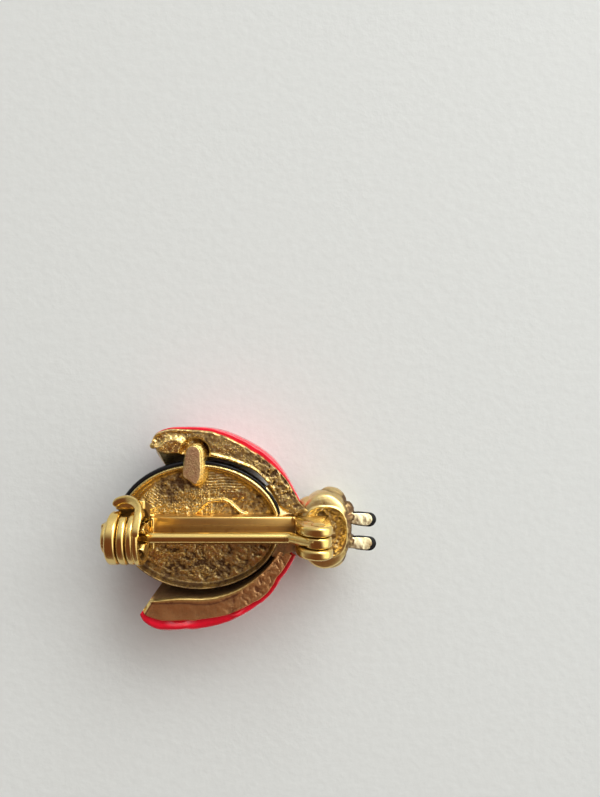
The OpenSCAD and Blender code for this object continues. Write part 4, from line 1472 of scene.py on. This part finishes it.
class BROOCH_OT_neck(Maker, bpy.types.Operator):
    """Neck between the body, the wings and the head, with its smooth fillet"""

    bl_idname = "brooch.neck"
    bl_label = "Neck"

    def build(self, s):
        made = remeshed(neck_shapes(s), NECK_VOXEL, "neck_fillet")
        points, normals = vertex_points(made), vertex_normals(made)
        x, y, z = points.T
        lumps = uneven(x + 0.6*z, y + 0.3*z, 1.2, 14) + uneven(y - 0.5*z, x + z, 1.2, 54)
        points += normals*(0.02*lumps)[:, None]
        x, y, z = points.T
        dish = 0.62*ease(x + 0.5*y, 8.1, 10.2)*ease(11.6 - x, 0, 1.0)*ease(y, -0.5, 0.6)
        under_rim = 1.4*ease(1.01 - np.hypot(x/s.half_length, y/s.half_width), 0, 0.04)
        drop = ease(z, s.back - 0.5, s.back - 0.2)*dish + ease(z, s.back - 0.7, s.back - 0.5)*under_rim
        move_vertices(made, np.column_stack([x, y, z - drop]))
        # Darker in rough patches towards -Y, and paler on the upper (+Y) side next to the body.
        dirt = ease(-0.2 - y, 0, 1.0)*(0.3 + 1.4*(uneven(x, y, 0.5, 18) + 0.1))
        mark(made, dirt=dirt, rubbed=0.5*ease(y, 1.0, 1.6)*ease(9.2 - x, 0, 0.8))
        finish(made, "pale_gold", "casting")


# Antennae

ANTENNA_TURN = math.radians(8)
ANTENNA_GAP = 2.45
ANTENNA_START = 1.9
ANTENNA_REACH = 18
# Height of an antenna's flat back over its axis, at the root and at the tip
ANTENNA_FLAT = (0.46, 0.02)
# How far the axis starts over its CAD place and ends under it
ANTENNA_DIP = (0.30, -0.30)
# How much thinner the metal is than the enamel round it, and the length that stays bare
ANTENNA_THIN, ANTENNA_BARE = 0.08, 0.9


def antenna_sides():
    """Sideways places of the antennae's roots, the lower one first."""
    return [HEAD_Y + 0.15 + side*ANTENNA_GAP/2 for side in (-1, 1)]


def antenna_length(s):
    reach = ANTENNA_REACH - s.head_middle - ANTENNA_START - s.head_antenna*math.sin(ANTENNA_TURN)
    return reach/math.cos(ANTENNA_TURN)


def antenna_shape(profile, y, s, grow=0.0):
    """Round stem along an antenna, cut flat on its back."""
    root = (s.head_middle + ANTENNA_START, y, s.back - 1.1)
    turn, cos, sin = full_turn(56), math.cos(ANTENNA_TURN), math.sin(ANTENNA_TURN)
    rings = []
    for along, radius in profile:
        share = along/antenna_length(s)
        across, up = radius*np.cos(turn), radius*np.sin(turn)
        crown = 0.07*(1 - (across/radius)**2)
        flat = mix(*ANTENNA_FLAT, ease(share, -0.2, 1.15)) + grow
        up = np.minimum(up, min(flat, radius*0.9) + crown) + mix(*ANTENNA_DIP, share)
        rings.append(np.column_stack([along*cos + across*sin, across*cos - along*sin, up]) + root)
    return closed_loft(rings)


class BROOCH_OT_antennae(Maker, bpy.types.Operator):
    """Antennae, flat on their backs"""

    bl_idname = "brooch.antennae"
    bl_label = "Antennae"

    def build(self, s):
        core, length = s.head_antenna - ANTENNA_THIN, antenna_length(s)
        profile = [
            (length*share*0.88, core*min(1, 0.9 + 0.4*share)*blunted(share, 0.78, 0.04))
            for share in np.linspace(0, 1, 40)
        ]
        for name, y in zip(("lower", "upper"), antenna_sides()):
            made = bare_object("antenna_" + name, antenna_shape(profile, y, s, 0.05))
            points = vertex_points(made)
            x = points[:, 0]
            worn = uneven(x*1.3, points[:, 1], 0.55, 29 + int(y))
            points[:, 2] += 0.12*worn
            move_vertices(made, points)
            mark(made, dirt=0.02 - 2.6*worn + ease(s.head_middle + 2.85 - x, 0, 0.4))
            finish(made, "bright_worn_gold", "casting")


class BROOCH_OT_antenna_coats(Maker, bpy.types.Operator):
    """Dark enamel round the fronts and tips of the antennae"""

    bl_idname = "brooch.antenna_coats"
    bl_label = "Antenna enamel"

    def build(self, s):
        profile = []
        for share in np.linspace(0, 1, 40):
            radius = s.head_antenna*mix(0.9, 1, ease(share, 0, 0.3))*blunted(share, 0.72, 0.03)
            profile.append((mix(ANTENNA_BARE, antenna_length(s), share), radius))
        for name, y in zip(("lower", "upper"), antenna_sides()):
            made = bare_object("antenna_coat_" + name, antenna_shape(profile, y, s))
            finish(made, "black_glaze", "antenna_enamel_" + name)


# Pin-back

# How much narrower the bar is along its lower edge, which the wire hides, and its left end
BAR_LOW_TRIM, BAR_LEFT = 0.5, -4.45
# Height of the plate under the hinge over the bar's top, and room in the fork beside the wire
HINGE_RISE, EYE_ROOM = 0.12, 0.08


class BROOCH_OT_bar(Maker, bpy.types.Operator):
    """Flat bar along the back"""

    bl_idname = "brooch.bar"
    bl_label = "Bar"

    def build(self, s):
        half, top = s.pin_bar_width/2, s.back + s.pin_bar_height
        across = s.line[1] - half + BAR_LOW_TRIM, s.line[1] + half
        end = s.rivet[0] - 2.1
        bar = bar_shape((BAR_LEFT, end), across, (s.back - 0.9, top), 0.24, True)
        lip = bar_shape((end - 0.45, end - 0.05), across, (s.back, top + HINGE_RISE), 0.03)
        made = bare_object("pin_bar", joined([bar, lip]))
        x, y, _ = vertex_points(made).T
        streak = rough(x*0.15, y*3, 0.8, 50)
        # Faint streaks of tarnish, and darker towards the -Y edge that the wire hides: painted shade under
        # the wire.
        mark(made, dirt=0.15*streak + (0.5 + 0.4*streak)*ease(0.62 - y, 0, 0.45))
        finish(made, "bar_brass", "casting")


def ear_outline(s):
    """Side view of a hinge ear: a round top over its foot, in places and heights."""
    x, _, z = s.rivet
    foot, turn = s.back - 0.15, np.radians(np.linspace(-5, 118, 40))
    top = [(x + s.pin_ear_round*math.cos(t), z + s.pin_ear_round*math.sin(t)) for t in turn]
    return np.array(top + [
        (x - 1.1, z + 1.0), (x - 1.5, z + 0.6), (x - 1.85, z + 0.05), (x - 2.05, z - 0.6),
        (x - 2.15, z - 1.4), (x - 2.2, foot + 0.6), (x - 2.2, foot), (x + 1.25, foot),
        (x + 1.3, foot + 0.5), (x + 1.36, foot + 1.4),
    ])


class BROOCH_OT_hinge(Maker, bpy.types.Operator):
    """Hinge: a fork of two rounded ears on its base"""

    bl_idname = "brooch.hinge"
    bl_label = "Hinge"

    def build(self, s):
        half = s.pin_ear + s.pin_wire + EYE_ROOM
        along, y = s.rivet[:2]
        shapes = [
            slab(ear_outline(s), low, low + s.pin_ear, 0.32, 10, (0, 2, 1))
            for low in (y - half, y + half - s.pin_ear)
        ]
        top, across = s.back + s.pin_bar_height + HINGE_RISE, (y - half + 0.25, y + half - 0.25)
        shapes.append(bar_shape((along - 2, along + 1.2), across, (s.back - 0.1, top), 0.0))
        made = bare_object("hinge_fork", joined(shapes))
        px, py, pz = vertex_points(made).T
        # Darker low down in rough patches, and on the ears' inner faces inside the fork.
        low, inner = ease(top + 1.2 - pz, 0, 1.4), ease(0.62 - np.abs(py - y), 0, 0.06)
        mark(made, dirt=0.45*low*rough(px, py + pz, 0.7, 52) + 0.7*inner)
        finish(made, "satin_brass", "casting")


# Low round head at each end of the rivet: steps in from its end, and radii
RIVET_HEAD = [(0.0, 0.16), (0.02, 0.36), (0.06, 0.5), (0.12, 0.6), (0.15, 0.66), (0.16, 0.68)]


class BROOCH_OT_rivet(Maker, bpy.types.Operator):
    """Rivet of the hinge, with a low head at each end"""

    bl_idname = "brooch.rivet"
    bl_label = "Rivet"

    def build(self, s):
        end = s.rivet_half
        head = [(end - step, radius) for step, radius in [*RIVET_HEAD, (0.165, s.pin_rivet)]]
        profile = [(-along, radius) for along, radius in head] + head[::-1]
        made = bare_object("hinge_rivet_pin", turned(profile, s.rivet, (1, 0, 2), 48))
        mark(made, dirt=0.1)
        finish(made, "polished_brass", "hinge_rivet")


# Eye of the wire round the rivet: middle radius, half its depth, and the angle from straight up
# at which the wire runs into it
EYE_MIDDLE, EYE_HALF, EYE_MEET = 0.9, 0.38, math.radians(14)
# The wire's bend before the rivet, half its length, and the length of its sharpened end
BEND_BEFORE, BEND_HALF, POINT_LENGTH = 2.65, 0.35, 3.3


def wire_path(s):
    """Points of the wire from its sharp end up to the eye, and the radius at each."""
    _, y, z = s.line
    bend = np.array([s.rivet[0] - BEND_BEFORE, y, z])
    shaft, start = s.tip + POINT_LENGTH, bend - (BEND_HALF, 0, 0)
    last = s.rivet + EYE_MIDDLE*np.array([-math.sin(EYE_MEET), 0, math.cos(EYE_MEET)])
    way = (last - bend)/np.linalg.norm(last - bend)
    path = [(x, y, z) for x in np.linspace(s.tip, shaft, 24)]
    path += [(x, y, z) for x in np.linspace(shaft, start[0], 30)[1:]]
    path += [bow(start, bend, bend + BEND_HALF*way, t) for t in np.linspace(0, 1, 9)[1:]]
    path += [mix(path[-1], last, t) for t in np.linspace(0, 1, 10)[1:]]
    thick = np.full(len(path), s.pin_wire)
    thick[:24] = mix(0.12, s.pin_wire, np.linspace(0, 1, 24)**0.8)
    return path, thick


class BROOCH_OT_pin(Maker, bpy.types.Operator):
    """Wire with a sharpened end, a bend and an eye round the rivet"""

    bl_idname = "brooch.pin"
    bl_label = "Pin"

    def build(self, s):
        path, thick = wire_path(s)
        mesh = bpy.data.meshes.new("pin_wire")
        mesh.from_pydata([tuple(p) for p in path], [(i, i + 1) for i in range(len(path) - 1)], [])
        wire = linked("wire", mesh)
        mark(wire, thick=thick)
        run_tree(wire, wire_tree(), Sides=40, Material=named_material("polished_brass"))
        half, bore = s.pin_wire + 0.01, EYE_MIDDLE - EYE_HALF
        across, reach = box_outline(-half, half, bore, EYE_MIDDLE + EYE_HALF, 0.28).T
        eye = closed_ring([
            np.column_stack([reach*math.cos(turn), across, reach*math.sin(turn)]) + s.rivet
            for turn in full_turn(72)
        ])
        made = bare_object("pin_wire", joined([taken_apart(wire), eye]))
        points = vertex_points(made)
        # The wire's end keeps out of the eye's bore, where the rivet runs
        around = points[:, [0, 2]] - s.rivet[[0, 2]]
        away = np.maximum(np.hypot(*around.T), 0.01)
        points[:, [0, 2]] = s.rivet[[0, 2]] + around*(np.maximum(away, bore)/away)[:, None]
        move_vertices(made, points)
        x, y, _ = points.T
        crease = peak(x, s.rivet[0] - BEND_BEFORE - 0.4, 0.12)
        mark(made, dirt=0.12*rough(x*0.5, y*2, 0.9, 63) + 0.3*crease)
        finish(made, "polished_brass", "pin_stem", body="stem")


# Path of the catch's hood, from its free end to the roller's end ring, then its half width and
# half thickness at both ends
HOOD = [(-7.62, 2.45, 7.95), (-7.42, 2.88, 8.0), (-6.95, 3.12, 8.1), (-6.3, 3.2, 8.3), (-5.6, 3.08, 8.8),
        (-5.04, 2.7, 9.5), (-4.80, 2.12, 10.24), (-4.80, 1.65, 10.58), (-4.83, 1.22, 10.84),
        (-4.86, 0.75, 11.07), (-4.88, 0.25, 11.22)]
HOOD_WIDE, HOOD_TALL = (0.43, 0.30), (0.42, 0.05)
# Half the hook's opening in degrees, the cap's radius, and where the catch's cradle ends
HOOK_OPENING, CAP_RADIUS, CRADLE_END = math.degrees(math.asin(0.61)), 1.5, -4.35
# Radii and angles of the lining behind the roller
LINING, LINING_SPAN = (2.66, 3.5), (99, 150)


def catch_shapes(s):
    """Hook, end cap, lining, hood, and the cradle and posts that they stand on."""
    y, z = s.line[1:]
    left, right = s.left, s.right
    cap, hook_end, post = left - 1.05, right + 0.45, right + 0.3
    half, bar_top = s.pin_bar_width/2, s.back + s.pin_bar_height
    cradle = z - s.pin_band - 0.1
    hook = box_outline(left - 0.1, hook_end, s.pin_hook_bore, s.pin_hook, 0.14)
    lining = box_outline(left + 0.25, right + 0.1, *LINING, 0.12)
    dome = [
        (cap + 0.26 + 0.54*t, CAP_RADIUS*math.sqrt(1 - (1 - t)**4)) for t in np.linspace(0.02, 1, 14)
    ]
    return [
        swung(hook, s.line, HOOK_OPENING, 360 - HOOK_OPENING, 110, 8),
        turned(dome + [(cap + 0.88, CAP_RADIUS - 0.04)], s.line, (0, 1, 2), 72),
        swung(lining, s.line, *LINING_SPAN, 60, 3),
        strap(HOOD, HOOD_WIDE, HOOD_TALL),
        bar_shape((cap, CRADLE_END), (y - 1.7, y + 1.7), (cradle - 0.8, cradle), 0.03),
        bar_shape((cap + 0.02, cap + 0.88), (y - 1.3, y + 1.3), (cradle - 0.1, z), 0.0),
        bar_shape((post, right + 0.8), (y - half, y + half), (s.back - 0.9, bar_top + 0.5), 0.06),
        bar_shape((post, hook_end - 0.02), (y - 0.55, y + 0.55), (s.back, z - 0.94), 0.0),
    ]


class BROOCH_OT_catch(Maker, bpy.types.Operator):
    """Catch: its cradle, the round cap, the split hook and the hood over the roller's end"""

    bl_idname = "brooch.catch"
    bl_label = "Catch"

    def build(self, s):
        made = bare_object("catch_base", joined(catch_shapes(s)))
        points = vertex_points(made)
        x, y, z = points.T
        reach, turn = round_line(points, s.line)
        # The lining inside the mouth under the hood is marked nearly fully dull: painted shadow. The rest is
        # darker in rough patches towards -Y.
        lining = (turn > math.radians(104))*(reach > LINING[0] - 0.06)*(x < s.right + 0.12)*(z < 7.75)
        mark(made, dirt=0.35*ease(-0.2 - y, 0, 1.2)*rough(x, y + z, 0.9, 15) + 0.9*lining)
        finish(made, "satin_brass", "casting")


# Angles that the roller's tube covers, from straight up
TUBE_SPAN = (152.5, 451.5)
# The bands: starts from the roller's left end, widths of the first two, and angles where they end
BAND_STARTS, BAND_WIDTHS, BAND_ENDS = (0, 1.12, 1.98), (1.02, 0.76), (452, 422, 452)
BAND_FIRST = 152
# How deep the roller's bands are worn out of round
BAND_DENT = 0.06


def roller_bands(s):
    """The three raised bands; the last one ends a little before the roller's end ring."""
    widths = (*BAND_WIDTHS, s.right - s.left - BAND_STARTS[-1] - 0.24)
    tree, depth = band_tree(), s.pin_band_depth
    bands = []
    for start, width, end in zip(BAND_STARTS, widths, BAND_ENDS):
        band = linked("band", bpy.data.meshes.new("band"))
        run_tree(
            band, tree, Radius=s.pin_band - depth/2 - 0.03, Start=math.radians(BAND_FIRST),
            Sweep=math.radians(end - BAND_FIRST), Width=width, Depth=depth + 0.06, Rounding=0.27,
            Material=named_material("polished_brass"),
        )
        points, faces = taken_apart(band)
        bands.append((points + s.line + (s.left + start + width/2, 0, 0), faces))
    return bands


class BROOCH_OT_roller(Maker, bpy.types.Operator):
    """Roller that turns in the catch: three raised bands on a split tube"""

    bl_idname = "brooch.roller"
    bl_label = "Roller"

    def build(self, s):
        left, right, outer = s.left, s.right, s.pin_band
        tube, bore = outer - s.pin_band_depth, s.pin_hook + 0.07
        section = [
            (left + 0.02, bore), (right - 0.8, bore), (right - 0.8, outer - 0.6),
            (right - 0.02, outer - 0.6), (right - 0.02, tube + 0.04), (left + 0.02, tube + 0.04),
        ]
        bead = box_outline(right - 0.3, right + 0.25, tube - 0.1, outer + 0.07, 0.24)
        parts = [swung(part, s.line, *TUBE_SPAN, 110) for part in (section, bead)]
        made = bare_object("catch_bands", joined(parts + roller_bands(s)))
        points = vertex_points(made)
        x, y, _ = points.T
        reach, turn = round_line(points, s.line)
        dent = BAND_DENT*ripple(turn*2.3, np.floor((x - left)/1.05), 73)*ease(reach, tube + 0.2, tube + 0.35)
        points[:, 1:] += (s.line[1:] - points[:, 1:])*(dent/reach)[:, None]
        move_vertices(made, points)
        # Darker on the tube between and inside the bands, and in rough patches towards -Y.
        inner = ease(tube + 0.12 - round_line(points, s.line)[0], 0, 0.08)
        mark(made, dirt=0.3*ease(-0.6 - y, 0, 1.0)*rough(x, y, 0.9, 16) + 0.7*inner)
        finish(made, "polished_brass", "catch_roller", body="roller")


# Stage

ROOM_LIGHT = 0.5
ROOM_COLOUR = (0.78, 0.78, 0.78, 1)
# Parts of the room: the way to each one's middle, the cosines where it starts and is full, its colour
ROOM = [
    # Wall with the window, and the bright side towards the head
    ((0.5, 0.8, 0.35), 0.1, 0.95, (2.3, 2.32, 2.3, 1)),
    ((0.86, 0.1, 0.5), 0.5, 0.9, (3.6, 3.5, 3.25, 1)),
    # Small bright pane
    ((0.25, 0.88, 0.48), 0.96, 0.985, (17.0, 17.0, 16.7, 1)),
    # Dim warm parts, low down at the front and overhead
    ((-0.3, -0.9, 0.3), 0.2, 0.75, (0.50, 0.36, 0.32, 1)),
    ((-0.22, -0.42, 0.88), 0.5, 0.82, (0.32, 0.135, 0.08, 1)),
]
WINDOW_PLACE, WINDOW_SIZE, WINDOW_POWER = (0.2, 0.18, 0.16), (0.2, 0.14), 0.34
PAPER_REACH = 0.6


def set_world():
    """Soft room: bright towards the window, dim and warm overhead and at the front."""
    world = bpy.data.worlds.new("room")
    bpy.context.scene.world = world
    world.use_nodes = True
    tree = world.node_tree
    tree.nodes.clear()
    way = tree.nodes.new("ShaderNodeTexCoord").outputs["Generated"]
    colour = ROOM_COLOUR
    for middle, start, full, tone in ROOM:
        axis = tuple(Vector(middle).normalized())
        near = add_node(tree, "ShaderNodeVectorMath", way, axis, operation="DOT_PRODUCT")
        colour = blended(tree, stretched(tree, near, start, full), colour, tone)
    light = add_node(tree, "ShaderNodeBackground", colour, ROOM_LIGHT)
    tree.links.new(light, tree.nodes.new("ShaderNodeOutputWorld").inputs["Surface"])


class BROOCH_OT_stage(bpy.types.Operator):
    """Paper, soft light and the camera"""

    bl_idname = "brooch.stage"
    bl_label = "Stage"

    def execute(self, context):
        scene = context.scene
        stage = scene.brooch_stage
        camera = bpy.data.cameras.new("camera")
        camera.sensor_fit = "HORIZONTAL"
        camera.lens_unit = "FOV"
        camera.angle = stage.view
        camera.clip_start = 0.001
        scene.camera = linked("camera", camera)
        scene.camera.location = (stage.camera_x, stage.camera_y, stage.camera_z)
        scene.view_settings.view_transform = "Standard"
        set_world()
        light = bpy.data.lights.new("window", "AREA")
        light.shape = "RECTANGLE"
        light.size, light.size_y = WINDOW_SIZE
        light.energy = WINDOW_POWER*stage.window
        light.color = (1.0, 1.0, 0.99)
        window = linked("window", light)
        window.location = WINDOW_PLACE
        window.rotation_euler = (-Vector(WINDOW_PLACE)).to_track_quat("-Z", "Y").to_euler()
        paper = bpy.data.meshes.new("paper")
        corners = [(x*PAPER_REACH, y*PAPER_REACH, 0) for x, y in ((-1, -1), (1, -1), (1, 1), (-1, 1))]
        paper.from_pydata(corners, [], [(0, 1, 2, 3)])
        sheet = linked("paper", paper)
        paper.materials.append(paper_material(scene.brooch_finish.paper))
        return {"FINISHED"}


class BROOCH_PT_panel(bpy.types.Panel):
    """Lists the brooch's pieces and sizes"""

    bl_idname = "BROOCH_PT_panel"
    bl_label = "Brooch"
    bl_space_type = "VIEW_3D"
    bl_region_type = "UI"
    bl_category = "Brooch"

    def draw(self, context):
        for group in GROUPS:
            box = self.layout.box()
            box.label(text=group.title())
            values = getattr(context.scene, "brooch_" + group)
            for name in values.__annotations__:
                box.prop(values, name)
        for operator in OPERATORS:
            self.layout.operator(operator.bl_idname)


GROUPS = {
    "body": BroochBody, "wings": BroochWings, "head": BroochHead, "pin": BroochPin,
    "finish": BroochFinish, "stage": BroochStage,
}
OPERATORS = (
    BROOCH_OT_stage, BROOCH_OT_body, BROOCH_OT_body_coat, BROOCH_OT_wings, BROOCH_OT_wing_coats,
    BROOCH_OT_strut, BROOCH_OT_head, BROOCH_OT_neck, BROOCH_OT_antennae, BROOCH_OT_antenna_coats,
    BROOCH_OT_bar, BROOCH_OT_hinge, BROOCH_OT_rivet, BROOCH_OT_pin, BROOCH_OT_catch, BROOCH_OT_roller,
)
CLASSES = (*GROUPS.values(), *OPERATORS, BROOCH_PT_panel)


def register():
    for item in CLASSES:
        bpy.utils.register_class(item)
    for name, group in GROUPS.items():
        setattr(bpy.types.Scene, "brooch_" + name, bpy.props.PointerProperty(type=group))


def unregister():
    for name in GROUPS:
        delattr(bpy.types.Scene, "brooch_" + name)
    for item in reversed(CLASSES):
        bpy.utils.unregister_class(item)


def main():
    register()
    for operator in OPERATORS:
        step = getattr(bpy.ops.brooch, operator.bl_idname.split(".")[1])
        step()


if __name__ == "__main__":
    main()
